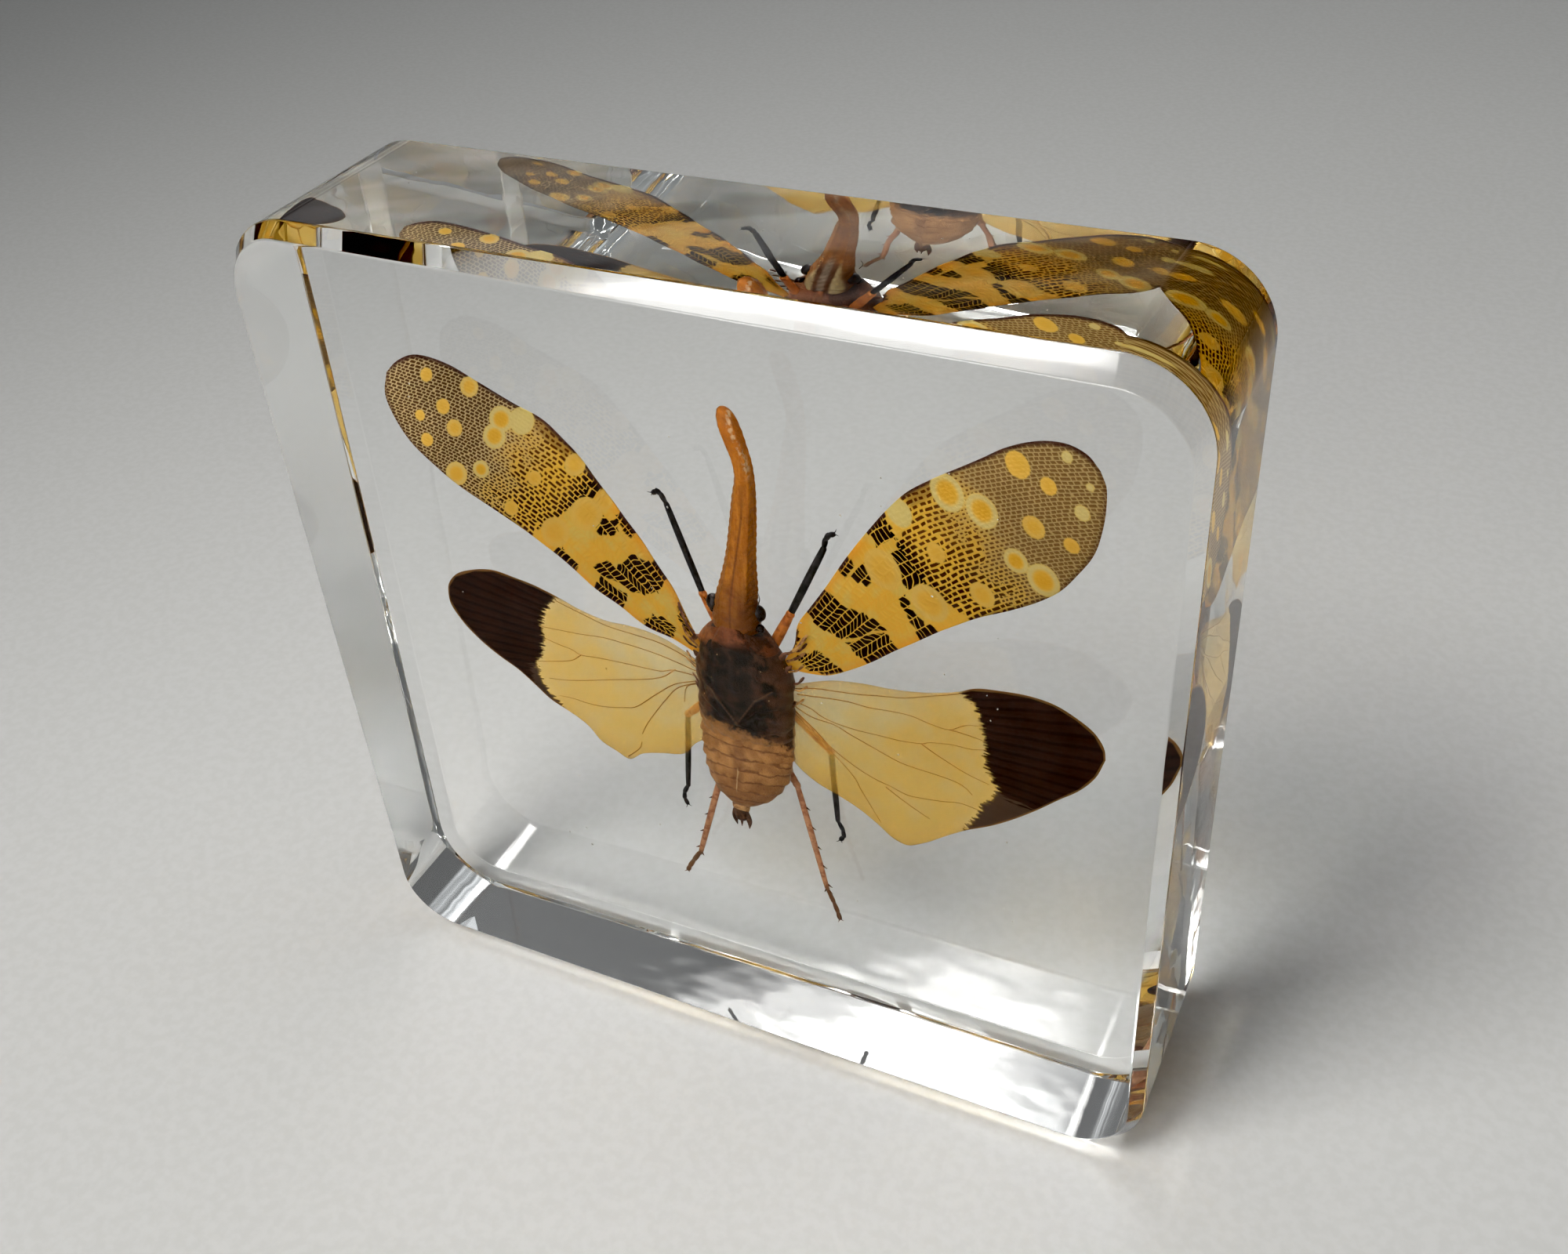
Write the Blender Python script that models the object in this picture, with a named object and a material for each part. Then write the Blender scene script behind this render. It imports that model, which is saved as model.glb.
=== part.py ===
"""A long-snouted lantern bug sealed in a clear resin block.

The block stands on its bottom face, with the flat front face towards -Y and +Z up. The origin is the
middle of the bottom face's rectangle. The insect lies upright in the block, back to the front, snout
up, in a pocket that follows its shape. The block is parted at a plane through the wings, so that the
pocket is open to the parting gap.
"""

import math

import bmesh
import bpy
from mathutils import Matrix, Vector

MM = 0.001

# Block: a square slab of cast resin, its edges ground to narrow chamfers by hand.
BLOCK_WIDTH = 80.0 * MM
BLOCK_HEIGHT = 80.0 * MM
BLOCK_DEPTH = 20.0 * MM
CORNER_RADIUS = 6.8 * MM
CORNER_STEPS = 8
CHAMFER = 1.4 * MM
FRONT_SIDE_CHAMFER = 1.1 * MM
FRONT_TOP_CHAMFER_LEFT = 1.0 * MM
FRONT_TOP_CHAMFER_RIGHT = 2.0 * MM

# Parting plane through the wings, and the clearance between neighbouring solids.
PARTING_Y = 3.0 * MM
CLEARANCE = 0.3 * MM

# Cross-sections of the body from the waist to the snout's tip, all in mm:
# height, sideways shift of the middle, depth of the middle, half width, half depth.
WAIST_HEIGHT = 35.2
BODY_SECTIONS = (
    (WAIST_HEIGHT, 0.95, 2.3, 4.40, 2.9),
    (36.5, 1.05, 2.2, 4.45, 3.2),
    (38.5, 1.15, 2.1, 4.55, 3.4),
    (40.5, 1.20, 2.1, 4.60, 3.5),
    (42.0, 1.25, 2.1, 4.50, 3.5),
    (43.2, 1.20, 2.1, 4.15, 3.3),
    (43.7, 1.10, 2.2, 3.75, 3.0),
    (44.3, 0.90, 2.1, 3.80, 3.1),
    (45.3, 0.80, 2.1, 3.50, 3.0),
    (46.3, 0.85, 2.1, 2.90, 2.7),
    (47.0, 0.95, 2.1, 2.30, 2.4),
    (47.8, 1.00, 2.1, 2.10, 2.3),
    (49.0, 1.10, 2.0, 1.95, 2.1),
    (50.4, 1.40, 1.9, 1.75, 1.8),
    (53.0, 1.80, 1.9, 1.40, 1.45),
    (56.0, 2.20, 1.9, 1.20, 1.20),
    (59.0, 2.55, 1.9, 1.05, 1.05),
    (61.3, 2.75, 1.9, 0.85, 0.95),
    (62.6, 2.60, 1.9, 0.88, 0.92),
    (64.0, 2.20, 1.9, 0.95, 0.95),
    (65.6, 1.75, 1.9, 0.95, 0.95),
    (66.6, 1.45, 2.0, 0.75, 0.75),
    (67.1, 1.30, 2.0, 0.35, 0.35),
)
BODY_SIDES = 14

# Abdomen: overlapping rings that narrow towards the tail, its middle line leaning to the left.
ABDOMEN_RINGS = 7
ABDOMEN_TAIL_HEIGHT = 25.2
ABDOMEN_HALF_WIDTH = 4.4
ABDOMEN_HALF_DEPTH = 2.9
ABDOMEN_RING_STEP = 0.14
ABDOMEN_LEAN = 0.12
TAIL_RADIUS = 0.7
TAIL_LENGTH = 1.0
PRONG_LENGTH = 1.3
PRONG_RADIUS = 0.3
PRONG_SPREAD = (-0.65, 0.0, 0.65)

# Eyes and antenna beads on the sides of the head: sideways place, depth, height, radius, in mm.
HEAD_BEADS = (
    ("eye_left", -1.15, 2.0, 48.1, 0.85),
    ("eye_right", 3.20, 2.0, 47.8, 0.85),
    ("antenna_left", -1.45, 2.8, 47.0, 0.45),
    ("antenna_right", 3.45, 2.8, 46.8, 0.45),
)

# Wings. Each lies along its own axis from a root on the thorax, at an angle above the horizontal.
# Stations in mm: distance along the axis, leading edge above it, trailing edge below it.
WING_THICKNESS = 0.3
WING_STRIPS = 4
WING_CAMBER_SHARE = 0.03
WING_TILT = 0.1
FOREWING_DEPTH = 2.7
HINDWING_DEPTH = 3.5
FOREWING_LEFT = (
    (-2.0, 0.3, -1.2),
    (1.3, 1.1, -1.7),
    (3.8, 2.7, -2.5),
    (9.5, 4.9, -3.0),
    (14.0, 6.3, -2.9),
    (18.0, 7.5, -3.2),
    (21.2, 7.8, -3.7),
    (24.5, 7.0, -4.2),
    (27.6, 6.3, -4.2),
    (30.2, 5.9, -3.8),
    (32.0, 5.1, -2.9),
    (33.5, 3.9, -1.8),
    (34.4, 2.2, -0.2),
)
FOREWING_RIGHT = (
    (-2.5, -1.0, -2.6),
    (-0.6, -0.6, -2.5),
    (1.6, 1.7, -3.5),
    (6.3, 3.5, -3.8),
    (10.0, 5.0, -3.7),
    (14.0, 6.4, -3.7),
    (18.0, 7.5, -4.1),
    (21.5, 7.5, -4.5),
    (24.5, 7.3, -4.6),
    (27.3, 7.1, -3.8),
    (29.3, 6.7, -2.8),
    (31.0, 6.1, -1.1),
    (32.2, 5.2, 0.3),
    (33.0, 3.8, 1.8),
)
HINDWING_LEFT = (
    (-1.2, -0.2, -8.4),
    (0.0, 0.0, -9.3),
    (1.3, 0.8, -10.8),
    (3.4, 1.5, -11.6),
    (5.6, 1.7, -12.5),
    (7.4, 1.7, -13.7),
    (9.6, 1.5, -12.9),
    (11.4, 1.8, -11.2),
    (14.0, 2.4, -10.2),
    (18.8, 3.2, -7.4),
    (20.9, 3.3, -6.4),
    (23.0, 2.7, -5.1),
    (25.0, 1.6, -3.4),
    (26.0, 0.2, -1.5),
)
HINDWING_RIGHT = (
    (-1.5, -0.2, -7.6),
    (0.0, 0.0, -8.8),
    (1.5, 0.7, -10.1),
    (3.5, 1.2, -11.0),
    (7.3, 1.6, -13.2),
    (8.8, 1.7, -14.4),
    (10.0, 1.8, -14.8),
    (11.7, 2.0, -13.9),
    (15.7, 3.3, -11.3),
    (18.0, 3.8, -10.0),
    (20.9, 3.9, -8.0),
    (23.6, 3.3, -5.7),
    (25.4, 2.2, -4.1),
    (26.7, 0.9, -2.4),
)
# Name, stations, root sideways, root height, depth, angle in degrees, side (-1 left, 1 right).
WINGS = (
    ("forewing_left", FOREWING_LEFT, -3.7, 43.3, FOREWING_DEPTH, 36.8, -1),
    ("forewing_right", FOREWING_RIGHT, 6.1, 44.9, FOREWING_DEPTH, 37.4, 1),
    ("hindwing_left", HINDWING_LEFT, -3.8, 40.3, HINDWING_DEPTH, 4.5, -1),
    ("hindwing_right", HINDWING_RIGHT, 5.6, 40.5, HINDWING_DEPTH, 1.7, 1),
)

# Legs: joints from the hip to the claw, as sideways place, depth and height in mm.
LEG_SIDES = 6
FORE_RADII = (0.50, 0.36, 0.26, 0.20)
MID_RADII = (0.48, 0.32, 0.24, 0.20)
HIND_RADII = (0.50, 0.34, 0.26, 0.20)
LEGS = (
    ("foreleg_left", FORE_RADII, (-0.6, 4.0, 43.0), (-2.7, 3.8, 47.9), (-5.2, 3.5, 56.4),
     (-5.8, 3.5, 57.5), (-6.5, 3.5, 57.2)),
    ("foreleg_right", FORE_RADII, (2.9, 4.0, 42.5), (5.5, 3.8, 47.8), (8.9, 3.5, 55.2),
     (9.2, 3.5, 56.4), (10.0, 3.5, 56.9)),
    ("midleg_left", MID_RADII, (-1.2, 4.6, 38.0), (-5.8, 4.7, 33.4), (-6.6, 4.6, 24.6),
     (-7.2, 4.6, 23.2), (-6.8, 4.6, 21.8)),
    ("midleg_right", MID_RADII, (3.0, 4.6, 38.5), (8.4, 4.7, 33.3), (8.8, 4.6, 25.3),
     (9.4, 4.6, 23.9), (8.9, 4.6, 22.7)),
    ("hindleg_left", HIND_RADII, (0.0, 4.4, 34.5), (-2.4, 4.6, 28.8), (-6.0, 4.6, 16.3),
     (-7.2, 4.6, 14.2), (-7.9, 4.6, 12.7)),
    ("hindleg_right", HIND_RADII, (2.0, 4.4, 34.0), (4.9, 4.6, 28.3), (7.4, 4.6, 16.2),
     (8.2, 4.6, 14.0), (8.7, 4.6, 12.1)),
)
SPINES_PER_LEG = 5
SPINE_LENGTH = 0.8
SPINE_RADIUS = 0.16
SPINE_LEAN = 0.5


def principled(name, colour, roughness, alpha=1.0, transmission=0.0):
    """A plain Principled material."""
    material = bpy.data.materials.new(name)
    material.use_nodes = True
    shader = material.node_tree.nodes["Principled BSDF"]
    shader.inputs["Base Color"].default_value = (*colour, 1.0)
    shader.inputs["Roughness"].default_value = roughness
    shader.inputs["Metallic"].default_value = 0.0
    shader.inputs["Alpha"].default_value = alpha
    shader.inputs["Transmission Weight"].default_value = transmission
    return material


def object_from(mesh_data, name, rounded=True):
    """An object with its faces turned outwards, shaded smooth over its shallow angles if rounded."""
    bmesh.ops.recalc_face_normals(mesh_data, faces=mesh_data.faces)
    mesh = bpy.data.meshes.new(name)
    mesh_data.to_mesh(mesh)
    mesh_data.free()
    if rounded:
        mesh.shade_smooth()
        mesh.set_sharp_from_angle(angle=math.radians(35))
    thing = bpy.data.objects.new(name, mesh)
    bpy.context.scene.collection.objects.link(thing)
    return thing


def loft(rings):
    """A closed mesh through rings of equal point counts, with a flat cap on the first and last."""
    lofted = bmesh.new()
    loops = [[lofted.verts.new(point) for point in ring] for ring in rings]
    for lower, upper in zip(loops, loops[1:]):
        for i in range(len(lower)):
            j = (i + 1) % len(lower)
            lofted.faces.new((lower[i], lower[j], upper[j], upper[i]))
    lofted.faces.new(reversed(loops[0]))
    lofted.faces.new(loops[-1])
    return lofted


def rounded_outline(corners, radius, y):
    """The four-cornered outline at that depth with each corner rounded to the radius."""
    points = []
    for i, corner in enumerate(corners):
        here = Vector(corner)
        back = (Vector(corners[i - 1]) - here).normalized()
        ahead = (Vector(corners[(i + 1) % len(corners)]) - here).normalized()
        half_angle = back.angle(ahead) / 2
        middle = here + (back + ahead).normalized() * radius / math.sin(half_angle)
        first = here + back * radius / math.tan(half_angle) - middle
        last = here + ahead * radius / math.tan(half_angle) - middle
        sweep = first.angle_signed(last)
        for step in range(CORNER_STEPS + 1):
            turned = Matrix.Rotation(-sweep * step / CORNER_STEPS, 2) @ first
            x, z = middle + turned
            points.append((x, y, z))
    return points


def block_outline(y, side_inset=0.0, bottom_inset=0.0, top_left_inset=0.0, top_right_inset=0.0):
    """The block's outline at that depth, set in by these amounts, from the bottom left round."""
    side = BLOCK_WIDTH / 2 - side_inset
    corners = (
        (-side, bottom_inset),
        (side, bottom_inset),
        (side, BLOCK_HEIGHT - top_right_inset),
        (-side, BLOCK_HEIGHT - top_left_inset),
    )
    return rounded_outline(corners, CORNER_RADIUS - side_inset, y)


def resin_half(name, rings, pocket, material):
    """Half of the block, through its rings, with the insect's pocket cut from it."""
    half = object_from(loft(rings), name, rounded=False)
    half.data.materials.append(material)
    cut = half.modifiers.new("pocket", "BOOLEAN")
    cut.operation = "DIFFERENCE"
    cut.solver = "EXACT"
    cut.object = pocket
    return half


def resin_front(pocket, material):
    """The front half: flat front face, hand-ground chamfer, square sides to the parting."""
    front = -BLOCK_DEPTH / 2
    rings = (
        block_outline(front, FRONT_SIDE_CHAMFER, CHAMFER, FRONT_TOP_CHAMFER_LEFT,
                      FRONT_TOP_CHAMFER_RIGHT),
        block_outline(front + CHAMFER),
        block_outline(PARTING_Y - CLEARANCE / 2),
    )
    return resin_half("resin_front", rings, pocket, material)


def resin_back(pocket, material):
    """The back half: square sides from the parting, then an even chamfer to the flat back face."""
    back = BLOCK_DEPTH / 2
    rings = (
        block_outline(PARTING_Y + CLEARANCE / 2),
        block_outline(back - CHAMFER),
        block_outline(back, CHAMFER, CHAMFER, CHAMFER, CHAMFER),
    )
    return resin_half("resin_back", rings, pocket, material)


def section_ring(height, shift, depth, half_width, half_depth):
    """One cross-section of the body in metres: an ellipse, level with the block's bottom."""
    points = []
    for i in range(BODY_SIDES):
        turn = math.tau * i / BODY_SIDES
        x = shift + half_width * math.cos(turn)
        y = depth + half_depth * math.sin(turn)
        points.append((x * MM, y * MM, height * MM))
    return points


def abdomen_sections(grow):
    """Sections of the overlapping abdomen rings, from the tail up to just below the waist."""
    waist_shift, waist_depth = BODY_SECTIONS[0][1:3]
    length = WAIST_HEIGHT - ABDOMEN_TAIL_HEIGHT
    sections = []
    for ring in range(ABDOMEN_RINGS, 0, -1):
        for edge, step in ((ring - 0.05, 0.0), (ring - 0.85, -ABDOMEN_RING_STEP)):
            t = edge / ABDOMEN_RINGS
            taper = (1 - t**3.2) ** 0.6
            sections.append((
                WAIST_HEIGHT - length * t,
                waist_shift - ABDOMEN_LEAN * length * t * t,
                waist_depth,
                ABDOMEN_HALF_WIDTH * taper + step + grow,
                ABDOMEN_HALF_DEPTH * taper + step + grow,
            ))
    return sections


def body(name, grow=0.0):
    """Abdomen, thorax, head and snout as one lofted form."""
    sections = abdomen_sections(grow)
    height, shift, depth = sections[0][:3]
    radius = TAIL_RADIUS + grow
    sections.insert(0, (height - TAIL_LENGTH - grow, shift - 0.1, depth, radius, radius))
    for height, shift, depth, half_width, half_depth in BODY_SECTIONS:
        sections.append((height, shift, depth, half_width + grow, half_depth + grow))
    tip = sections[-1]
    sections[-1] = (tip[0] + grow, *tip[1:])
    return object_from(loft([section_ring(*section) for section in sections]), name)


def bead(name, x, y, z, radius, grow):
    """An eye or an antenna's round base."""
    ball = bmesh.new()
    place = Matrix.Translation(Vector((x, y, z)) * MM)
    size = (radius + grow) * MM
    bmesh.ops.create_uvsphere(ball, u_segments=10, v_segments=6, radius=size, matrix=place)
    return object_from(ball, name)


def tapered_rod(name, start, end, start_radius, end_radius, sides, grow=0.0):
    """A straight rod between two joints in mm, its blunt ends reaching a little past them."""
    start = Vector(start)
    end = Vector(end)
    along = (end - start).normalized()
    turn = along.to_track_quat("Z", "X").to_matrix()
    rings = []
    for point, radius, reach in (
        (start, start_radius * 0.6, -0.8),
        (start, start_radius, -0.2),
        (end, end_radius, 0.2),
        (end, end_radius * 0.6, 0.8),
    ):
        centre = point + along * (reach * (radius + grow) + math.copysign(grow * 0.4, reach))
        ring = []
        for i in range(sides):
            angle = math.tau * i / sides
            across = Vector((math.cos(angle), math.sin(angle), 0)) * (radius + grow)
            ring.append((centre + turn @ across) * MM)
        rings.append(ring)
    return object_from(loft(rings), name)


def leg(name, radii, joints, grow):
    """Femur, tibia, tarsus and claw, each a tapered rod from joint to joint."""
    pieces = []
    for i, (start, end) in enumerate(zip(joints, joints[1:])):
        thin = radii[min(i + 1, len(radii) - 1)]
        end_radius = (radii[i] + thin) / 2
        pieces.append(tapered_rod(f"{name}_{i}", start, end, radii[i], end_radius, LEG_SIDES, grow))
    return pieces


def leg_spines(name, knee, ankle, side, grow):
    """The short spines along the outer side of a hind tibia, pointing out and down."""
    knee = Vector(knee)
    ankle = Vector(ankle)
    down = (ankle - knee).normalized()
    out = Vector((side, 0, 0)) + down * SPINE_LEAN
    out.normalize()
    pieces = []
    for i in range(SPINES_PER_LEG):
        root = knee.lerp(ankle, (i + 1) / (SPINES_PER_LEG + 0.3))
        tip = root + out * SPINE_LENGTH
        spine_name = f"{name}_{i}"
        pieces.append(tapered_rod(spine_name, root, tip, SPINE_RADIUS, SPINE_RADIUS * 0.4, 4, grow))
    return pieces


def tail_prongs(name, grow):
    """The three short prongs at the end of the abdomen."""
    tail = abdomen_sections(0.0)[0]
    start = Vector((tail[1] - 0.1, tail[2], tail[0] - 0.6))
    pieces = []
    for i, spread in enumerate(PRONG_SPREAD):
        end = start + Vector((spread, 0, -PRONG_LENGTH))
        pieces.append(tapered_rod(f"{name}_{i}", start, end, PRONG_RADIUS, PRONG_RADIUS * 0.5, 5, grow))
    return pieces


def wing_ring(station, half_thickness, root, angle, side):
    """The plate's cross-section at a station: along one face, then back along the other."""
    along, leading, trailing = station
    turn = math.radians(angle)
    middle = []
    for i in range(WING_STRIPS + 1):
        share = i / WING_STRIPS
        across = trailing + (leading - trailing) * share
        x = side * (along * math.cos(turn) - across * math.sin(turn))
        z = along * math.sin(turn) + across * math.cos(turn)
        camber = WING_CAMBER_SHARE * (leading - trailing) * math.sin(math.pi * share)
        middle.append(root + Vector((x, WING_TILT * across - camber, z)))
    thick = Vector((0, half_thickness, 0))
    return [(p - thick) * MM for p in middle] + [(p + thick) * MM for p in reversed(middle)]


def wing(name, stations, root_x, root_z, depth, angle, side, grow):
    """A thin cambered plate through the wing's stations, thickened to both sides."""
    grown = [(along, leading + grow, trailing - grow) for along, leading, trailing in stations]
    grown[0] = (grown[0][0] - grow, *grown[0][1:])
    grown[-1] = (grown[-1][0] + grow, *grown[-1][1:])
    root = Vector((root_x, depth, root_z))
    half_thickness = WING_THICKNESS / 2 + grow
    rings = [wing_ring(station, half_thickness, root, angle, side) for station in grown]
    return object_from(loft(rings), name)


def insect_form(name, grow=0.0):
    """The whole insect as one solid: everything that grows from the body is fused to it."""
    prefix = f"{name}_piece"
    pieces = tail_prongs(f"{prefix}_prong", grow)
    for bead_name, x, y, z, radius in HEAD_BEADS:
        pieces.append(bead(f"{prefix}_{bead_name}", x, y, z, radius, grow))
    for wing_name, *lie in WINGS:
        pieces.append(wing(f"{prefix}_{wing_name}", *lie, grow))
    for leg_name, radii, *joints in LEGS:
        pieces += leg(f"{prefix}_{leg_name}", radii, joints, grow)
        if leg_name.startswith("hindleg"):
            side = math.copysign(1, joints[2][0])
            pieces += leg_spines(f"{prefix}_{leg_name}_spine", joints[1], joints[2], side, grow)
    group = bpy.data.collections.new(f"{name}_pieces")
    bpy.context.scene.collection.children.link(group)
    for piece in pieces:
        bpy.context.scene.collection.objects.unlink(piece)
        group.objects.link(piece)
        hide_helper(piece)
    form = body(name, grow)
    fuse = form.modifiers.new("fuse", "BOOLEAN")
    fuse.operation = "UNION"
    fuse.solver = "EXACT"
    fuse.operand_type = "COLLECTION"
    fuse.collection = group
    return form


def hide_helper(thing):
    """Marks a shape that only cuts or joins others."""
    thing.hide_render = True
    thing.display_type = "WIRE"


def clear_scene():
    """Removes whatever the scene holds."""
    for thing in list(bpy.data.objects):
        bpy.data.objects.remove(thing, do_unlink=True)


clear_scene()
resin = principled("clear_resin", (0.93, 0.95, 0.94), 0.02, alpha=0.35, transmission=1.0)
chitin = principled("insect", (0.36, 0.20, 0.09), 0.5)
insect = insect_form("insect")
insect.data.materials.append(chitin)
pocket = insect_form("pocket", grow=CLEARANCE / MM)
hide_helper(pocket)
resin_front(pocket, resin)
resin_back(pocket, resin)
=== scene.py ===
"""A long-snouted lantern bug sealed in a clear resin block, dressed for a studio picture.

Lengths are in millimetres, turned into metres where a mesh is made. The block stands on its bottom
face, front towards -Y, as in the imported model.
"""

import math
from functools import partialmethod

import bmesh
import bpy
import numpy as np
from mathutils import Matrix, Vector


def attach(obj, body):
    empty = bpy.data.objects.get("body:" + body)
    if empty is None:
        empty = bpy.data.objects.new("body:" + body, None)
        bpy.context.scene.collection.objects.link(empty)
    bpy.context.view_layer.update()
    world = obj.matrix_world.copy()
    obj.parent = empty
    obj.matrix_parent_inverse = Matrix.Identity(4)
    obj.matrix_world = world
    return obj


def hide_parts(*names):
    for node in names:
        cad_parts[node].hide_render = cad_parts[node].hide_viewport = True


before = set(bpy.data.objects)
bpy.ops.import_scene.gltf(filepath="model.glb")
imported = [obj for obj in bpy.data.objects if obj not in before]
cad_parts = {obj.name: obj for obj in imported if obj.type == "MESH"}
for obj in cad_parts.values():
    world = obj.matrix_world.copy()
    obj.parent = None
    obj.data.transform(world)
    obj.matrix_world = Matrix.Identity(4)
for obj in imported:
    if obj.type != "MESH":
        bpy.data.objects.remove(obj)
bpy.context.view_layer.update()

MM = 0.001

# Camera: close above the block's front right, looking down on it, as a phone held over a table.
# It is turned to the left and tilted a little, as in a picture taken from the hand.
CAMERA_PLACE = (56.594, -98.519, 129.091)
CAMERA_TURN = (52.6914, 3.6107, 25.6134)
CAMERA_LENS = 37.482
CAMERA_SENSOR = 36.0

camera_data = bpy.data.cameras.new("camera")
camera_data.lens = CAMERA_LENS
camera_data.sensor_width = CAMERA_SENSOR
camera_data.sensor_fit = "HORIZONTAL"
camera_data.clip_start = 1 * MM
camera = bpy.data.objects.new("camera", camera_data)
camera.location = Vector(CAMERA_PLACE) * MM
camera.rotation_euler = [math.radians(angle) for angle in CAMERA_TURN]
bpy.context.scene.collection.objects.link(camera)
bpy.context.scene.camera = camera

# Floor: a wide sheet of pale matt paper, a hair's breadth below the block.
# Its fibres show as faint flecks and a very shallow tooth.
FLOOR_HALF = 1500.0
FLOOR_DROP = 0.15
PAPER_DARK = (0.584, 0.584, 0.570)
PAPER_LIGHT = (0.612, 0.612, 0.601)


class Shade:
    """A number, place or colour that changes over a surface. Arithmetic on it lays Math nodes."""

    def __init__(self, tree, socket):
        self.tree, self.socket = tree, socket

    def worked(self, operation, *others):
        """This value and the others put through one Math node."""
        return add(self.tree, "Math", dict(enumerate((self, *others))), operation=operation)

    __add__ = partialmethod(worked, "ADD")
    __sub__ = partialmethod(worked, "SUBTRACT")
    __mul__ = partialmethod(worked, "MULTIPLY")
    __truediv__ = partialmethod(worked, "DIVIDE")
    __pow__ = partialmethod(worked, "POWER")
    __abs__ = partialmethod(worked, "ABSOLUTE")

    def __rsub__(self, other):
        return add(self.tree, "Math", {0: other, 1: self}, operation="SUBTRACT")

    def step(self, low, high, start=0.0, end=1.0):
        """The value, eased from start at low to end at high and held beyond."""
        return add(self.tree, "MapRange", {"Value": self, "From Min": low, "From Max": high,
                                           "To Min": start, "To Max": end},
                   interpolation_type="SMOOTHSTEP")

    def outputs(self):
        """Every output of this value's node."""
        return [Shade(self.tree, socket) for socket in self.socket.node.outputs]

    def split(self):
        """The place's three measures."""
        return add(self.tree, "SeparateXYZ", {"Vector": self}).outputs()

    def clouds(self, scale, detail=3.0, roughness=0.55):
        """Soft irregular noise over this place, about 0 to 1."""
        return add(self.tree, "TexNoise", {"Vector": self, "Scale": scale, "Detail": detail,
                                           "Roughness": roughness}, "Fac")

    def dots(self, scale):
        """How far this place is from the nearest of many scattered points."""
        return add(self.tree, "TexVoronoi", {"Vector": self, "Scale": scale}, "Distance")


def give(socket, value):
    """Sets an input to a plain value, or links it to one that changes over the surface."""
    if isinstance(value, Shade):
        value.tree.links.new(value.socket, socket)
    else:
        socket.default_value = (*value, 1.0) if socket.type == "RGBA" else value


def add(tree, kind, inputs=None, output=0, **settings):
    """An output of a new shader node with these settings and inputs."""
    made = tree.nodes.new("ShaderNode" + kind)
    for name, value in settings.items():
        setattr(made, name, value)
    for name, value in (inputs or {}).items():
        give(made.inputs[name], value)
    return Shade(tree, made.outputs[output])


def coated(base, *coats):
    """A colour with others laid over it in turn, each by its share from 0 to 1."""
    for share, coat in coats:
        tree = next(value.tree for value in (share, base, coat) if isinstance(value, Shade))
        base = add(tree, "Mix", {0: share, 6: base, 7: coat}, 2, data_type="RGBA")
    return base


def place_in_mm(tree):
    """The place on the piece, in millimetres, in the block's own frame."""
    place = add(tree, "TexCoord", output="Object")
    return add(tree, "Mapping", {"Vector": place, "Scale": (1 / MM,) * 3})


def new_material(name, gloss=0.5):
    """A material, its node tree and its Principled shader."""
    material = bpy.data.materials.new(name)
    material.use_nodes = True
    shader = material.node_tree.nodes["Principled BSDF"]
    shader.inputs["Specular IOR Level"].default_value = gloss
    return material, material.node_tree, shader


def dress(shader, base, rough, height, relief):
    """Gives the shader its colour, its roughness and a relief of that many mm."""
    bump = add(base.tree, "Bump", {"Height": height, "Strength": 1.0, "Distance": relief * MM})
    for name, value in (("Base Color", base), ("Roughness", rough), ("Normal", bump)):
        give(shader.inputs[name], value)


def mesh_piece(name, form, materials, smooth=True):
    """A mesh object from a form: its points in mm, its faces, and maybe each face's material."""
    points, faces, *kinds = form
    mesh = bpy.data.meshes.new(name)
    mesh.from_pydata((np.asarray(points, float) * MM).tolist(), [], faces)
    for material in materials:
        mesh.materials.append(material)
    if kinds:
        mesh.polygons.foreach_set("material_index", kinds[0])
    mesh.validate()
    shape = bmesh.new()
    shape.from_mesh(mesh)
    bmesh.ops.recalc_face_normals(shape, faces=shape.faces)
    shape.to_mesh(mesh)
    shape.free()
    if smooth:
        mesh.shade_smooth()
    piece = bpy.data.objects.new(name, mesh)
    bpy.context.scene.collection.objects.link(piece)
    return piece


paper, tree, shader = new_material("paper")
flecks = place_in_mm(tree).clouds(0.9, 6.0)
paper_colour = coated(PAPER_DARK, (flecks.step(0.35, 0.65), PAPER_LIGHT))
dress(shader, paper_colour, flecks.step(0.2, 0.8, 0.75, 0.9), flecks, 0.004)
corners = [(x * FLOOR_HALF, y * FLOOR_HALF, -FLOOR_DROP)
           for x, y in ((-1, -1), (1, -1), (1, 1), (-1, 1))]
floor = mesh_piece("floor", (corners, [(0, 1, 2, 3)]), [paper], smooth=False)

# Light: a broad soft window pane high at the front left and a low one straight ahead, a wide weak
# one high behind and a weaker one low behind, and pale walls, brighter on the window's side. A
# raised black point takes off the haze that the table's mirror image lays on the block's face.
ROOM_DARK = (0.50, 0.51, 0.52)
ROOM_PALE = (0.97, 0.985, 1.0)
ROOM_STRENGTH = 0.225
PALE_SIDE = (-0.5, -0.87, 0.0)
WINDOW_WHITE = (1.0, 0.985, 0.965)
PANES = (
    ("high_pane", (-109.3, -205.5, 419.8), (80.0, 140.0, 0.0), 220.0, 210.0, 0.80, 90.0,
     WINDOW_WHITE),
    ("low_pane", (-124.2, -538.1, 234.4), (0.0, 0.0, 45.0), 420.0, 300.0, 2.5, 150.0,
     WINDOW_WHITE),
    ("far_pane", (120.0, 284.5, 639.5), (60.0, 60.0, 0.0), 720.0, 750.0, 0.66, 150.0,
     (0.95, 0.98, 1.0)),
    ("back_pane", (-302.5, 568.9, 273.5), (0.0, 0.0, 80.0), 640.0, 320.0, 0.19, 150.0,
     (0.97, 0.99, 1.0)),
)
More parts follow.
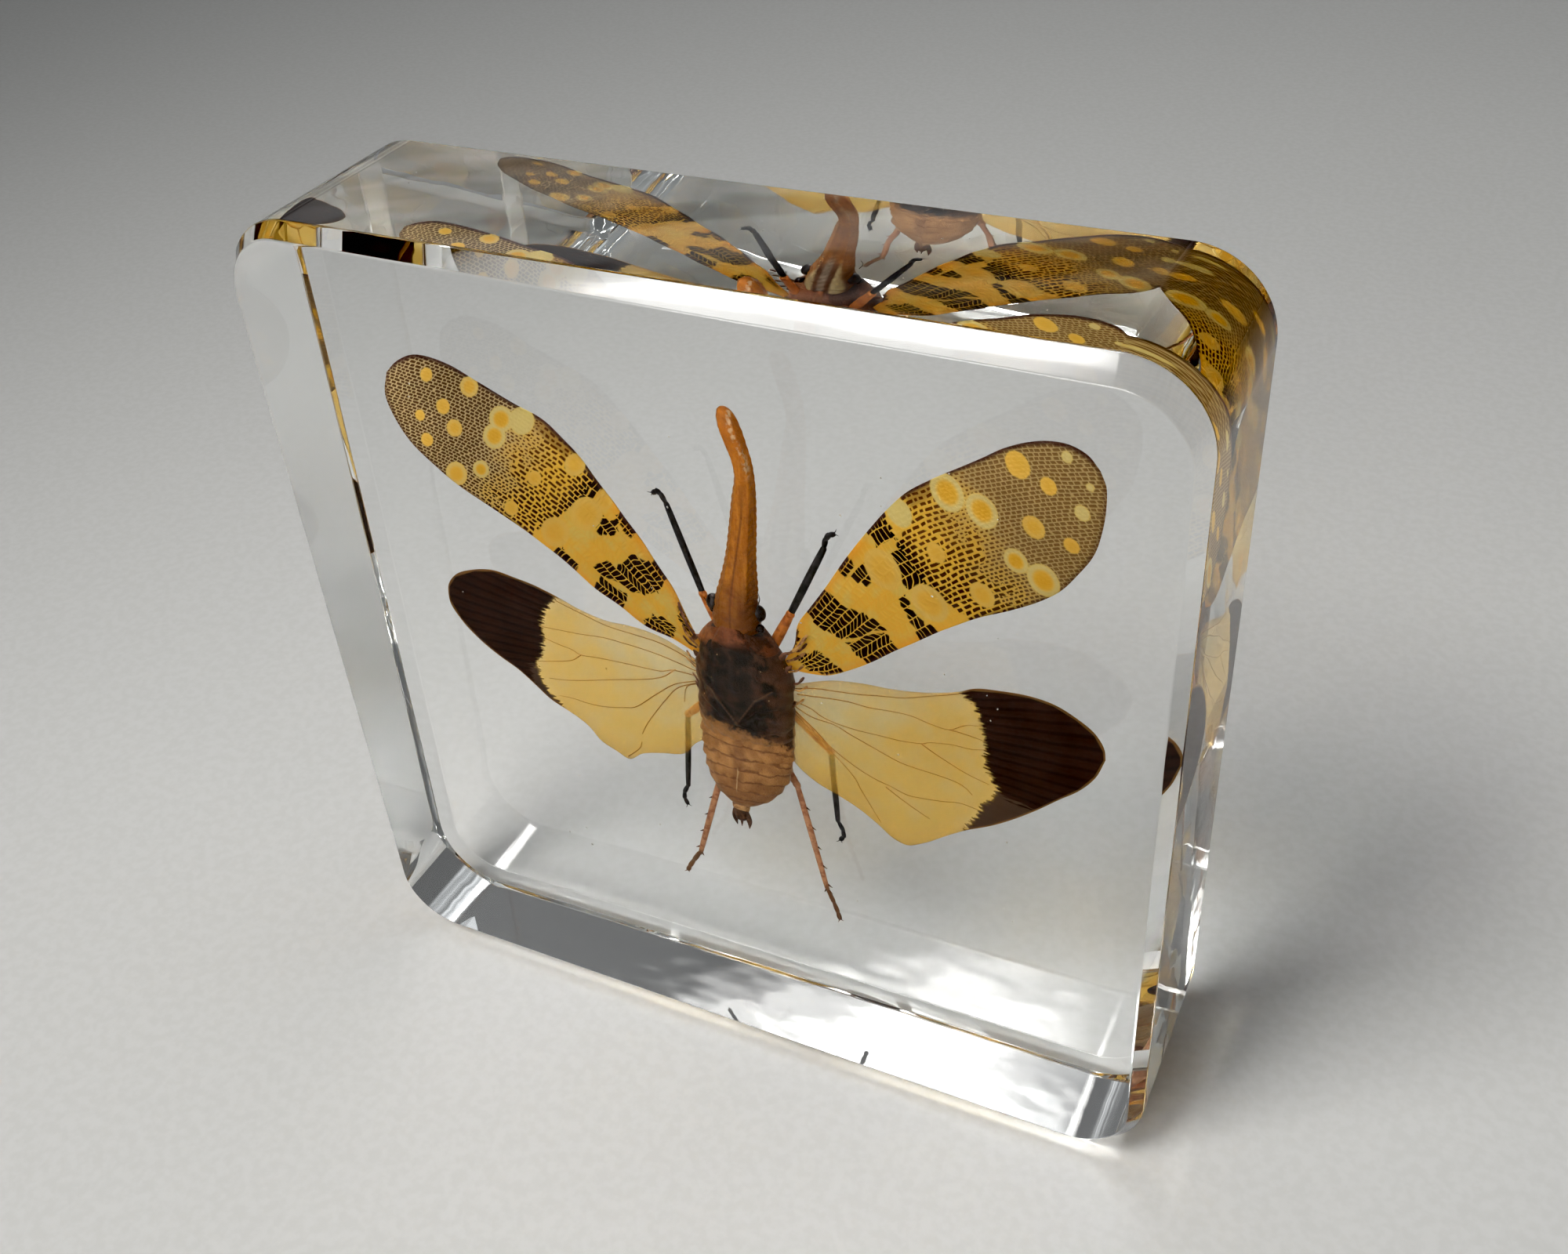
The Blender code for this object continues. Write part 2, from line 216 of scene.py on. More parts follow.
PANE_FADE = 0.22
SLATS = 10.0
BLACK_POINT = (0.033, 0.033, 0.033)
BOUNCES = {"max_bounces": 24, "glossy_bounces": 16, "transmission_bounces": 20,
           "sample_clamp_indirect": 0.0, "blur_glossy": 0.0}

room = bpy.data.worlds.new("room")
room.use_nodes = True
bpy.context.scene.world = room
tree = room.node_tree
looking = add(tree, "TexCoord", output="Generated")
sideways = add(tree, "VectorMath", {0: looking, 1: PALE_SIDE}, "Value", operation="DOT_PRODUCT")
backdrop = tree.nodes["Background"]
give(backdrop.inputs["Color"], coated(ROOM_DARK, (sideways.step(-1.0, 1.0), ROOM_PALE)))
backdrop.inputs["Strength"].default_value = ROOM_STRENGTH

for name, spot, aim, width, height, power, spread, tint in PANES:
    lamp_data = bpy.data.lights.new(name, "AREA")
    lamp_data.shape = "RECTANGLE"
    lamp_data.size = width * MM
    lamp_data.size_y = height * MM
    lamp_data.energy = power
    lamp_data.spread = math.radians(spread)
    lamp_data.color = tint
    lamp_data.use_nodes = True
    tree = lamp_data.node_tree
    across, up, _ = add(tree, "NewGeometry", output="Parametric").split()
    fades = [side.worked("PINGPONG", 0.5).step(0.0, PANE_FADE) for side in (across, up)]
    slats = add(tree, "TexNoise", {"W": up, "Scale": SLATS, "Detail": 2.0}, "Fac",
                noise_dimensions="1D")
    banded = fades[0] * fades[1] * slats.step(0.35, 0.65, 0.25, 1.35)
    give(tree.nodes["Emission"].inputs["Strength"], banded)
    lamp = bpy.data.objects.new(name, lamp_data)
    lamp.location = Vector(spot) * MM
    beam = Vector(aim) - Vector(spot)
    lamp.rotation_euler = beam.to_track_quat("-Z", "Y").to_euler()
    bpy.context.scene.collection.objects.link(lamp)

tones = bpy.context.scene.view_settings
tones.view_transform = "Standard"
tones.look = "Medium High Contrast"
tones.use_curve_mapping = True
tones.curve_mapping.black_level = BLACK_POINT
tones.curve_mapping.update()
for name, value in BOUNCES.items():
    setattr(bpy.context.scene.cycles, name, value)

# Resin block: one casting of water-clear resin, sawn square and polished. Its edges are ground to
# narrow chamfers by hand, the front top one widening to the right, and every edge is just broken.
BLOCK_WIDTH = 80.0
BLOCK_HEIGHT = 80.0
BLOCK_DEPTH = 20.0
CORNER_RADIUS = 6.8
CORNER_STEPS = 26
SIDE_STEPS = 22
CHAMFER = 1.4
FRONT_SIDE_CHAMFER = 1.1
FRONT_TOP_LEFT = 1.0
FRONT_TOP_RIGHT = 2.0
GRIND_WAVES = ((3, 0.05), (7, 0.035), (16, 0.02))
EDGE_BREAK = 0.14
BREAK_ANGLE = 18.0
RESIN_IOR = 1.49
RESIN_TINT = (0.90, 0.97, 0.94)
RESIN_DENSITY = 3.0
SMEAR_TINT = (0.985, 0.99, 0.985)


def rounded_outline(corners, radius):
    """A four-cornered outline with rounded corners, its straight sides divided evenly."""
    arcs = []
    for i, corner in enumerate(corners):
        here = Vector(corner)
        back = (Vector(corners[i - 1]) - here).normalized()
        ahead = (Vector(corners[(i + 1) % len(corners)]) - here).normalized()
        half_angle = back.angle(ahead) / 2
        middle = here + (back + ahead).normalized() * radius / math.sin(half_angle)
        first = here + back * radius / math.tan(half_angle) - middle
        last = here + ahead * radius / math.tan(half_angle) - middle
        turn = first.angle_signed(last) / CORNER_STEPS
        arcs.append([middle + Matrix.Rotation(-turn * step, 2) @ first
                     for step in range(CORNER_STEPS + 1)])
    outline = []
    for i, arc in enumerate(arcs):
        following = arcs[(i + 1) % len(arcs)][0]
        outline += arc + [arc[-1].lerp(following, step / SIDE_STEPS)
                          for step in range(1, SIDE_STEPS)]
    return outline


def block_ring(y, side=0.0, bottom=0.0, top_left=0.0, top_right=0.0, waves=()):
    """The block's outline at that depth, set in by these amounts, with the grinding's waves."""
    half = BLOCK_WIDTH / 2 - side
    corners = ((-half, bottom), (half, bottom), (half, BLOCK_HEIGHT - top_right),
               (-half, BLOCK_HEIGHT - top_left))
    outline = rounded_outline(corners, CORNER_RADIUS - side)
    middle = Vector((0, BLOCK_HEIGHT / 2))
    ring = []
    for i, point in enumerate(outline):
        turn = math.tau * i / len(outline)
        wave = sum(size * math.sin(count * turn + 2.1 * count) for count, size in waves)
        x, z = point + (middle - point).normalized() * wave
        ring.append((x, y, z))
    return ring


def grid_faces(rows, columns, start=0, closed=True):
    """Four-sided faces over rows of points, joined round if closed."""
    faces = []
    for row in range(rows - 1):
        for column in range(columns if closed else columns - 1):
            right = (column + 1) % columns
            low, high = start + row * columns, start + (row + 1) * columns
            faces.append((low + column, low + right, high + right, high + column))
    return faces


def lofted(rings):
    """Points and faces of a closed form through rings of equal counts, with flat ends."""
    count = len(rings[0])
    last = (len(rings) - 1) * count
    sides = [(right, left, over_left, over_right)
             for left, right, over_right, over_left in grid_faces(len(rings), count)]
    return ([point for ring in rings for point in ring],
            [tuple(range(count)), *sides, tuple(range(last, last + count))[::-1]])


clear, tree, shader = new_material("clear_resin")
for name, value in (("Transmission Weight", 1.0), ("IOR", RESIN_IOR), ("Metallic", 0.0)):
    shader.inputs[name].default_value = value
place = place_in_mm(tree)
smears = place.clouds(0.12, 4.0)
clean = coated((1.0, 1.0, 1.0), (smears.step(0.45, 0.75), SMEAR_TINT))
dress(shader, clean, smears.step(0.62, 0.8, 0.0, 0.012), place.clouds(0.16, 1.0), 0.02)
absorption = add(tree, "VolumeAbsorption", {"Color": RESIN_TINT, "Density": RESIN_DENSITY})
give(tree.nodes["Material Output"].inputs["Volume"], absorption)

front = -BLOCK_DEPTH / 2
back = BLOCK_DEPTH / 2
block_rings = (
    block_ring(front, FRONT_SIDE_CHAMFER, CHAMFER, FRONT_TOP_LEFT, FRONT_TOP_RIGHT, GRIND_WAVES),
    block_ring(front + CHAMFER),
    block_ring(back - CHAMFER),
    block_ring(back, CHAMFER, CHAMFER, CHAMFER, CHAMFER, GRIND_WAVES),
)
block = mesh_piece("resin_block", lofted(block_rings), [clear])
breaking = block.modifiers.new("broken edges", "BEVEL")
breaking.width = EDGE_BREAK * MM
breaking.segments = 2
breaking.limit_method = "ANGLE"
breaking.angle_limit = math.radians(BREAK_ANGLE)
flats = block.modifiers.new("flat faces", "WEIGHTED_NORMAL")
flats.mode = "FACE_AREA"
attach(block, "root")
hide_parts("resin_front", "resin_back")

# Abdomen: seven overlapping horny rings, tan above with darker hind edges, a low ridge and a pale
# split along the middle of the back, and a paler, banded underside. Dried and a little shrunk.
WAIST = 36.4
ABDOMEN_TOP = 35.2
ABDOMEN_TAIL = 25.2
ABDOMEN_END = 24.7
ABDOMEN_RINGS = 7
ABDOMEN_HALF_WIDTH = 4.4
ABDOMEN_HALF_DEPTH = 2.9
ABDOMEN_SHIFT = 0.95
ABDOMEN_LEAN = 0.12
ABDOMEN_DEPTH = 2.3
RING_STEP = 0.26
RIDGE_HEIGHT = 0.16
BORDER_HEIGHT = 35.9
BORDER_FALL = 0.36
TAN = (0.400, 0.205, 0.078)
TAN_LIGHT = (0.550, 0.300, 0.120)
TAN_DARK = (0.170, 0.070, 0.028)
BELLY = (0.500, 0.360, 0.200)
PALE_SPLIT = (0.700, 0.500, 0.270)
WAIST_BLACK = (0.030, 0.019, 0.014)
SOFT_GLOSS = 0.28


def skin(rows, sides, surface):
    """Points and faces of a closed form: surface gives points for shares along and turns round."""
    along = np.linspace(0, 1, rows)[:, None]
    turn = (np.arange(sides) * math.tau / sides)[None, :]
    rings = surface(along, turn)
    count, last = rows * sides, (rows - 1) * sides
    points = np.concatenate([rings.reshape(-1, 3), [rings[0].mean(0), rings[-1].mean(0)]])
    faces = grid_faces(rows, sides)
    for i in range(sides):
        j = (i + 1) % sides
        faces += [(j, i, count), (last + i, last + j, count + 1)]
    return points, faces


def as_points(*measures):
    """Measures spread over one grid and put together, one row for each point."""
    return np.stack(np.broadcast_arrays(*measures), axis=-1)


def bump_at(distance, width):
    """A smooth hump, 1 where the distance is 0."""
    return np.exp(-(distance / width) ** 2)


def new_group(name, inputs, outputs):
    """A shared node group with its named sockets, what it is given, and its result's sockets."""
    group = bpy.data.node_groups.new(name, "ShaderNodeTree")
    for way, sockets in (("INPUT", inputs), ("OUTPUT", outputs)):
        for title, kind in sockets.items():
            group.interface.new_socket(title, in_out=way, socket_type="NodeSocket" + kind)
    given = group.nodes.new("NodeGroupInput").outputs
    result = group.nodes.new("NodeGroupOutput").inputs
    return group, {socket.name: Shade(group, socket) for socket in given}, result


def chitin_group():
    """Horny insect skin: mottled colour, pits and grain, and a sheen that wanders with them."""
    group, given, result = new_group(
        "chitin", {"Color": "Color", "Mottle Color": "Color", "Mottle": "Float", "Grain": "Float"},
        {"Color": "Color", "Roughness": "Float", "Height": "Float"})
    place = place_in_mm(group)
    patches = place.clouds(given["Mottle"], 4.0)
    grain = place.clouds(given["Grain"], 3.0, 0.7)
    shade = patches.step(0.42, 0.66) + grain.step(0.3, 0.8, 0.0, 0.45)
    pits = place.dots(given["Grain"]).step(0.0, 0.5, 0.0, 0.3)
    give(result["Color"], coated(given["Color"], (shade, given["Mottle Color"])))
    give(result["Roughness"], grain.step(0.25, 0.75, 0.28, 0.55))
    give(result["Height"], grain + pits)
    return group


def chitin(tree, base, mottle_colour, mottle, grain):
    """The horny skin's colour, roughness and height, with its own colours and scales."""
    return add(tree, "Group", {"Color": base, "Mottle Color": mottle_colour, "Mottle": mottle,
                               "Grain": grain}, node_tree=CHITIN).outputs()


def horny(name, base, mottle_colour, mottle, grain, relief, gloss=SOFT_GLOSS):
    """A material of plain horny skin."""
    material, tree, shader = new_material(name, gloss)
    dress(shader, *chitin(tree, base, mottle_colour, mottle, grain), relief)
    return material


def waist_border_group():
    """Where the thorax's black gives way to the abdomen's tan: 1 above a ragged, slanting line."""
    group, given, result = new_group("waist_border", {"Raggedness": "Float"}, {"Black": "Float"})
    place = place_in_mm(group)
    x, _, z = place.split()
    line = BORDER_HEIGHT - (x - 1.5).worked("MAXIMUM", 0.0) * BORDER_FALL
    broken = place.clouds(0.9, 5.0, 0.7).step(0.3, 0.7, -1.0, 1.0) * given["Raggedness"]
    give(result["Black"], (z + broken - line).step(-0.45, 0.45))
    return group


def black_above_waist(tree, raggedness):
    """The border placed in a material."""
    return add(tree, "Group", {"Raggedness": raggedness}, node_tree=WAIST_BORDER)


CHITIN = chitin_group()
WAIST_BORDER = waist_border_group()


def insect_piece(name, form, *materials):
    """A mesh piece that is part of the insect's one solid."""
    piece = mesh_piece(name, form, materials)
    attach(piece, "root")
    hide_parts("insect")
    return piece


def abdomen_surface(along, turn):
    """Points of the abdomen, from the tail up to the waist."""
    height = ABDOMEN_END + (WAIST - ABDOMEN_END) * along
    length = ABDOMEN_TOP - ABDOMEN_TAIL
    t = np.clip((ABDOMEN_TOP - height) / length, -0.2, 1.0)
    taper = (1 - np.clip(t, 0, 1) ** 3.2 * 0.985) ** 0.6
    ragged = 0.05 * np.sin(3 * turn + 7 * t) + 0.035 * np.sin(11 * turn + 2)
    ring = np.clip(t, 0, 1) * ABDOMEN_RINGS + ragged
    step = RING_STEP * ((ring % 1.0) ** 1.6 - 0.75) * (t > 0.01)
    flange = 0.22 * bump_at(np.abs(np.cos(turn)) - 1, 0.12) * taper
    ridge = RIDGE_HEIGHT * bump_at(np.cos(turn), 0.16) * (np.sin(turn) < 0)
    dents = 0.07 * np.sin(5 * turn + 9 * t) * np.sin(17 * t + 2)
    across = ABDOMEN_HALF_WIDTH * taper + (step + flange + dents) * taper
    deep = ABDOMEN_HALF_DEPTH * taper + (step + ridge + dents) * taper
    shift = ABDOMEN_SHIFT - ABDOMEN_LEAN * length * t**2
    return as_points(shift + across * np.cos(turn), ABDOMEN_DEPTH + deep * np.sin(turn), height)


horn_tan, tree, shader = new_material("abdomen_tan", SOFT_GLOSS)
place = place_in_mm(tree)
x, y, z = place.split()
wander = place.clouds(0.7)
rise = z + wander.step(0.3, 0.7, -0.25, 0.25)
sag = (x - 1.0) ** 2.0 * 0.035
ring_length = (ABDOMEN_TOP - ABDOMEN_TAIL) / ABDOMEN_RINGS
ring_phase = (ABDOMEN_TOP - (rise + sag)).worked("MODULO", ring_length)
hind_edge = ring_phase.step(1.12, 1.36).worked("MAXIMUM", ring_phase.step(0.02, 0.16, 0.7, 0.0))
off_middle = abs(x - z.step(25.0, 34.0, -0.35, 0.75))
middle_shade = off_middle.step(0.25, 0.85, 0.45, 0.0) * z.step(27.0, 29.0)
low_shade = z.step(31.5, 26.5, 0.0, 0.45)
split_line = (off_middle + wander.step(0.3, 0.7, 0.0, 0.12)).step(0.05, 0.17, 1.0, 0.0)
split_part = split_line * z.step(31.5, 30.5) * z.step(27.4, 28.6)
on_back = y.step(1.9, 2.3, 1.0, 0.0)
upper_side = coated(
    TAN, (wander.step(0.35, 0.7), TAN_LIGHT), (hind_edge * 0.7, TAN_DARK),
    (middle_shade, TAN_DARK), (low_shade, TAN_DARK),
    (split_part * on_back * wander.step(0.3, 0.6, 0.35, 0.9), PALE_SPLIT),
    (black_above_waist(tree, 0.9), WAIST_BLACK))
both = coated(BELLY, (hind_edge, TAN), (on_back, upper_side))
mottled, rough, grain = chitin(tree, both, TAN_DARK, 0.9, 4.5)
flecks = place.dots(1.15).step(0.05, 0.075, 0.8, 0.0) * wander.step(0.5, 0.6)
dress(shader, coated(both, (0.30, mottled), (flecks, PALE_SPLIT)), rough, grain, 0.08)
insect_piece("abdomen", skin(170, 96, abdomen_surface), horn_tan)

# Tail: the dark last segment, with two flat side prongs and a thin middle one, and a tan joint
# above it.
TAIL_TOP = (-0.35, 2.2, 25.9)
TAIL_BOTTOM = (-0.42, 2.1, 23.95)
TAIL_BREADTH = (0.85, 0.88)
TAIL_JOINT = ((-0.36, 2.2, 25.35), (-0.37, 2.2, 25.0), 0.90)
PRONGS = (((-0.88, 2.0, 24.5), (-1.04, 2.0, 23.6), (-0.88, 2.0, 22.75), 0.36), ((-0.38, 1.95, 24.3),
    (-0.38, 1.95, 23.3), (-0.40, 1.95, 22.65), 0.17), ((0.10, 2.0, 24.5), (0.40, 2.0, 23.5),
    (0.36, 2.0, 22.55), 0.36))
PRONG_TAPER = np.array((1, 1, 1, 0.95, 0.85, 0.7, 0.5, 0.3, 0.12))
JOINT_TAN = (0.560, 0.340, 0.150)
TAIL_BROWN = (0.055, 0.026, 0.016)
TAIL_EDGE = (0.180, 0.085, 0.042)


def tube(path, radii, sides=12, flat=1.0):
    """Points and faces of a round-ended rod along a path, squashed front to back by flat."""
    path = [Vector(point) for point in path]
    last = len(path) - 1
    levels = []
    for i, (point, radius) in enumerate(zip(path, radii)):
        ahead = (path[min(i + 1, last)] - path[max(i - 1, 0)]).normalized()
        levels.append((point, radius, ahead))
    for way in (-1, 1):
        point, radius, ahead = levels[0 if way < 0 else -1]
        cap = [(point + ahead * radius * 0.6 * way, radius * 0.8, ahead),
               (point + ahead * radius * 0.9 * way, radius * 0.35, ahead)]
        levels = cap[::-1] + levels if way < 0 else levels + cap
    turns = [math.tau * i / sides for i in range(sides)]
    rings = []
    for centre, radius, ahead in levels:
        side = ahead.cross(Vector((0, 1, 0))).normalized()
        deep = side.cross(ahead).normalized()
        rings.append([centre + side * math.cos(a) * radius + deep * math.sin(a) * radius * flat
                      for a in turns])
    return lofted(rings)


def joined(*groups):
    """Groups of forms as one: all points, all faces, and the number of each face's group."""
    points, faces, kinds = [], [], []
    for kind, forms in enumerate(groups):
        for form_points, form_faces in forms:
            start = len(points)
            points += [tuple(point) for point in form_points]
            faces += [tuple(start + index for index in face) for face in form_faces]
            kinds += [kind] * len(form_faces)
    return points, faces, kinds


def eased(knots, values, at):
    """Values at those places on a smooth curve through the knots' values."""
    knots = np.asarray(knots, float)
    values = np.asarray(values, float)
    slopes = np.gradient(values, knots, axis=0)
    index = np.clip(np.searchsorted(knots, at) - 1, 0, len(knots) - 2)
    gap = knots[index + 1] - knots[index]
    t = np.clip((at - knots[index]) / gap, 0, 1)
    shape = t.shape + (1,) * (values.ndim - 1)
    t, gap = t.reshape(shape), gap.reshape(shape)
    return (values[index] * (1 + 2 * t) * (1 - t) ** 2 + slopes[index] * gap * t * (1 - t) ** 2
            + values[index + 1] * t**2 * (3 - 2 * t) + slopes[index + 1] * gap * t**2 * (t - 1))


def curve_through(knots, count):
    """Evenly shared points on a smooth curve through the knots."""
    return eased(np.arange(len(knots)), knots, np.linspace(0, len(knots) - 1, count))


def knob(start, end, radius, swells, sides, flat=1.0):
    """A short rod from start to end, its radius swelling by these six shares."""
    path = curve_through([start, Vector(start).lerp(Vector(end), 0.5), end], 6)
    return tube(path, radius * np.array(swells), sides, flat)


tail_brown = horny("tail_brown", TAIL_BROWN, TAIL_EDGE, 1.4, 7.0, 0.05)
joint_pale = horny("tail_joint_pale", JOINT_TAN, TAN_DARK, 1.6, 6.0, 0.05)
tail_middle = Vector(TAIL_TOP).lerp(Vector(TAIL_BOTTOM), 0.6)
tail_radii = (TAIL_BREADTH[0], TAIL_BREADTH[0] * 0.93, TAIL_BREADTH[1] * 0.8)
tail_forms = [tube([TAIL_TOP, tail_middle, TAIL_BOTTOM], tail_radii, 20, 0.8)]
for *path, radius in PRONGS:
    tail_forms.append(tube(curve_through(path, 9), radius * PRONG_TAPER, 12, 0.6))
*joint_ends, joint_radius = TAIL_JOINT
joint_form = tube(joint_ends, (joint_radius, joint_radius), 20, 0.8)
insect_piece("tail", joined(tail_forms, [joint_form]), tail_brown, joint_pale)

# Thorax: a domed, near-black shield with a V of two ridges that meet at its hind point, oval pits,
# and rusty sides where the wings are hinged. Below it the hind part runs into the abdomen.
THORAX_SECTIONS = ((33.9, 0.90, 2.3, 3.9, 2.5), (34.6, 0.92, 2.3, 4.35, 2.9),
    (36.5, 1.05, 2.2, 4.50, 3.2), (38.5, 1.15, 2.1, 4.55, 3.4), (40.5, 1.20, 2.1, 4.60, 3.5),
    (42.0, 1.25, 2.1, 4.50, 3.5), (43.2, 1.20, 2.1, 4.10, 3.3), (44.2, 0.95, 2.1, 3.60, 3.0),
    (45.2, 0.85, 2.1, 2.90, 2.7), (46.0, 0.85, 2.1, 1.90, 2.1))
SHIELD_POINT = (1.0, 36.7)
SHIELD_RIDGES = (((-1.3, 39.9), SHIELD_POINT), ((3.0, 39.9), SHIELD_POINT), ((3.0, 39.9),
    (4.4, 40.9)))
SHIELD_FOLDS = (((1.6, 36.9), (3.0, 38.3)), ((3.0, 38.3), (4.6, 38.7)), ((-1.2, 37.3),
    (-2.6, 38.1)), ((-2.8, 41.4), (-2.2, 39.0)), ((4.9, 42.4), (4.4, 40.4)), ((2.0, 35.9),
    (4.7, 35.5)))
SHIELD_KEELS = (((-0.4, 43.6), (-0.9, 40.2)), ((2.9, 43.4), (3.3, 40.2)), ((1.2, 44.0),
    (1.1, 40.6)))
SHIELD_PITS = ((-1.5, 40.6, 0.42), (-1.1, 38.5, 0.36), (3.3, 39.3, 0.55), (3.0, 37.4, 0.40),
    (-2.6, 42.2, 0.40), (4.2, 41.8, 0.45))
RIDGE_RELIEF = 0.22
FOLD_RELIEF = 0.26
PIT_RELIEF = 0.38
THORAX_GLOSS = 0.4
BLACK_BROWN = (0.010, 0.006, 0.005)
UMBER = (0.066, 0.036, 0.023)
RIDGE_BROWN = (0.260, 0.150, 0.085)
RUST = (0.230, 0.100, 0.050)


def off_segment(x, z, start, end):
    """How far each point lies from a straight stretch."""
    ax, az = start
    dx, dz = end[0] - ax, end[1] - az
    t = np.clip(((x - ax) * dx + (z - az) * dz) / max(dx * dx + dz * dz, 1e-9), 0, 1)
    return np.hypot(x - ax - dx * t, z - az - dz * t)


def shield_relief(x, z):
    """How far the thorax's back stands out from its plain form."""
    relief = 0 * x
    for lines, height, width in ((SHIELD_RIDGES, RIDGE_RELIEF, 0.15),
                                 (SHIELD_KEELS, RIDGE_RELIEF * 0.6, 0.3),
                                 (SHIELD_FOLDS, -FOLD_RELIEF, 0.2)):
        for start, end in lines:
            relief += height * bump_at(off_segment(x, z, start, end), width)
    for pit_x, pit_z, radius in SHIELD_PITS:
        relief -= PIT_RELIEF * bump_at(np.hypot((x - pit_x) * 1.4, z - pit_z), radius)
    relief -= 0.16 * bump_at(z - 36.2 + 0.05 * (x - 1) ** 2, 0.22)
    lumpy = np.clip((np.abs(x - 1.1) - 1.6) / 1.5, 0, 1) + np.clip((38.5 - z) / 2, 0, 1)
    relief += 0.05 * np.sin(2.3 * x + 1.1 * z) * np.sin(1.7 * z - x)
    relief += 0.09 * lumpy * np.sin(4.1 * x + 2.0 * z) * np.sin(3.3 * z - 1.9 * x + 1.0)
    return relief


def section_sizes(sections, share):
    """Height, and the shift, depth and half sizes there, at shares of a table of sections."""
    table = np.array(sections)
    height = table[0, 0] + (table[-1, 0] - table[0, 0]) * share
    return height[:, None], *eased(table[:, 0], table[:, 1:], height).T[:, :, None]


def thorax_surface(along, turn):
    """Points of the thorax, from under the abdomen's first ring up into the head."""
    height, shift, depth, half_width, half_depth = section_sizes(THORAX_SECTIONS, along[:, 0])
    uneven = 0.022 * np.sin(1.7 * height + 0.8) + 0.012 * np.sin(4.3 * height + 2 * np.cos(turn))
    x = shift + half_width * np.cos(turn) * (1 + uneven * np.abs(np.cos(turn)))
    dorsal = np.clip(-np.sin(turn), 0, 1)
    y = depth + half_depth * np.sin(turn) - shield_relief(x, height) * dorsal
    belly_folds = 0.12 * np.sin(2.6 * height) * np.clip(np.sin(turn), 0, 1)
    return as_points(x, y + belly_folds, height)


def keep_marks(piece, name, *fields):
    """Stores one number or three for each point of the piece's mesh, for its material.

    A thin plate's back takes those of its front, and the forms joined to it take 0.
    """
    values = as_points(*fields).reshape(-1, len(fields))
    count = len(piece.data.vertices)
    sides = count // len(values)
    rest = count - sides * len(values)
    values = np.pad(np.tile(values, (sides, 1)), ((0, rest), (0, 0)))
    kind, part = ("FLOAT", "value") if len(fields) == 1 else ("FLOAT_VECTOR", "vector")
    kept = piece.data.attributes.new(name, kind, "POINT")
    kept.data.foreach_set(part, values.astype(np.float32).ravel())


def marked(tree, name, output="Fac"):
    """A stored number or place, read in the material."""
    return add(tree, "Attribute", output=output, attribute_name=name)


shield_black, tree, shader = new_material("thorax_black", THORAX_GLOSS)
place = place_in_mm(tree)
x, y, z = place.split()
wander = place.clouds(0.8, 5.0)
to_side = (abs(x - 1.15) + wander.step(0.3, 0.7, -1.2, 1.2)).step(2.0, 4.2)
ridge = marked(tree, "ridge").step(0.25, 0.85)
warm = coated(BLACK_BROWN, (wander.step(0.42, 0.72), UMBER), (to_side * 0.45, RUST),
              (ridge * 0.55, RIDGE_BROWN))
whole = coated(TAN, (black_above_waist(tree, 0.5), warm), (y.step(2.2, 3.4), RUST))
mottled, rough, grain = chitin(tree, whole, UMBER, 1.2, 6.0)
flecks = place.dots(1.0).step(0.05, 0.08, 1.0, 0.0) * wander.step(0.5, 0.55)
dress(shader, coated(whole, (0.3, mottled), (flecks, PALE_SPLIT)), rough, grain, 0.10)
thorax_form = skin(190, 140, thorax_surface)
thorax = insect_piece("thorax", thorax_form, shield_black)
across, deep, rise = thorax_form[0].T
ridge_marks = sum(bump_at(off_segment(across, rise, *ends), 0.11) for ends in SHIELD_RIDGES)
keep_marks(thorax, "ridge", np.where(deep < 2.0, np.clip(ridge_marks, 0, 1), 0))

# Collar: the saddle-shaped plate before the shield, red-brown, pitted, with rounded side lobes. It
# laps over the shield's front edge and the back of the head. Right of the middle, under the right
# eye, a painted shadow darkens it.
COLLAR_SHIFT = 0.85
COLLAR_DEPTH = 2.1
COLLAR_HALF_WIDTH = 3.75
COLLAR_HALF_DEPTH = 3.05
COLLAR_LOW = 44.55
COLLAR_HIGH = 47.05
COLLAR_RED = (0.290, 0.108, 0.048)
# The dark of the mottle, and of the painted shadow under the right eye.
COLLAR_DARK = (0.065, 0.030, 0.019)
COLLAR_ORANGE = (0.430, 0.175, 0.066)


def collar_surface(along, turn):
    """Points of the collar, from its hind edge up to its front edge."""
    sideways = np.abs(np.cos(turn))
    low = COLLAR_LOW - 1.35 * sideways**1.5
    high = COLLAR_HIGH - 1.55 * sideways**1.3
    height = low + (high - low) * along
    swell = np.sin(math.pi * np.clip(along, 0.03, 0.97)) ** 0.5
    narrow = 1 - 0.42 * np.clip((height - 44.2) / 2.8, 0, 1) ** 1.1
    pits = 0.06 * bump_at(np.sin(6 * turn) - 1, 0.25) * np.sin(3 * math.pi * along)
    groove_at = 0.50 + 0.16 * (1 - along)
    pits = pits + 0.22 * bump_at(sideways - groove_at, 0.07) * (np.sin(turn) < 0)
    across = COLLAR_HALF_WIDTH * narrow - 0.25 + 0.25 * swell - pits
    deep = COLLAR_HALF_DEPTH * (1 - 0.55 * (1 - narrow)) - 0.2 + 0.28 * swell - pits
    return as_points(COLLAR_SHIFT + across * np.cos(turn), COLLAR_DEPTH + deep * np.sin(turn),
                     height)


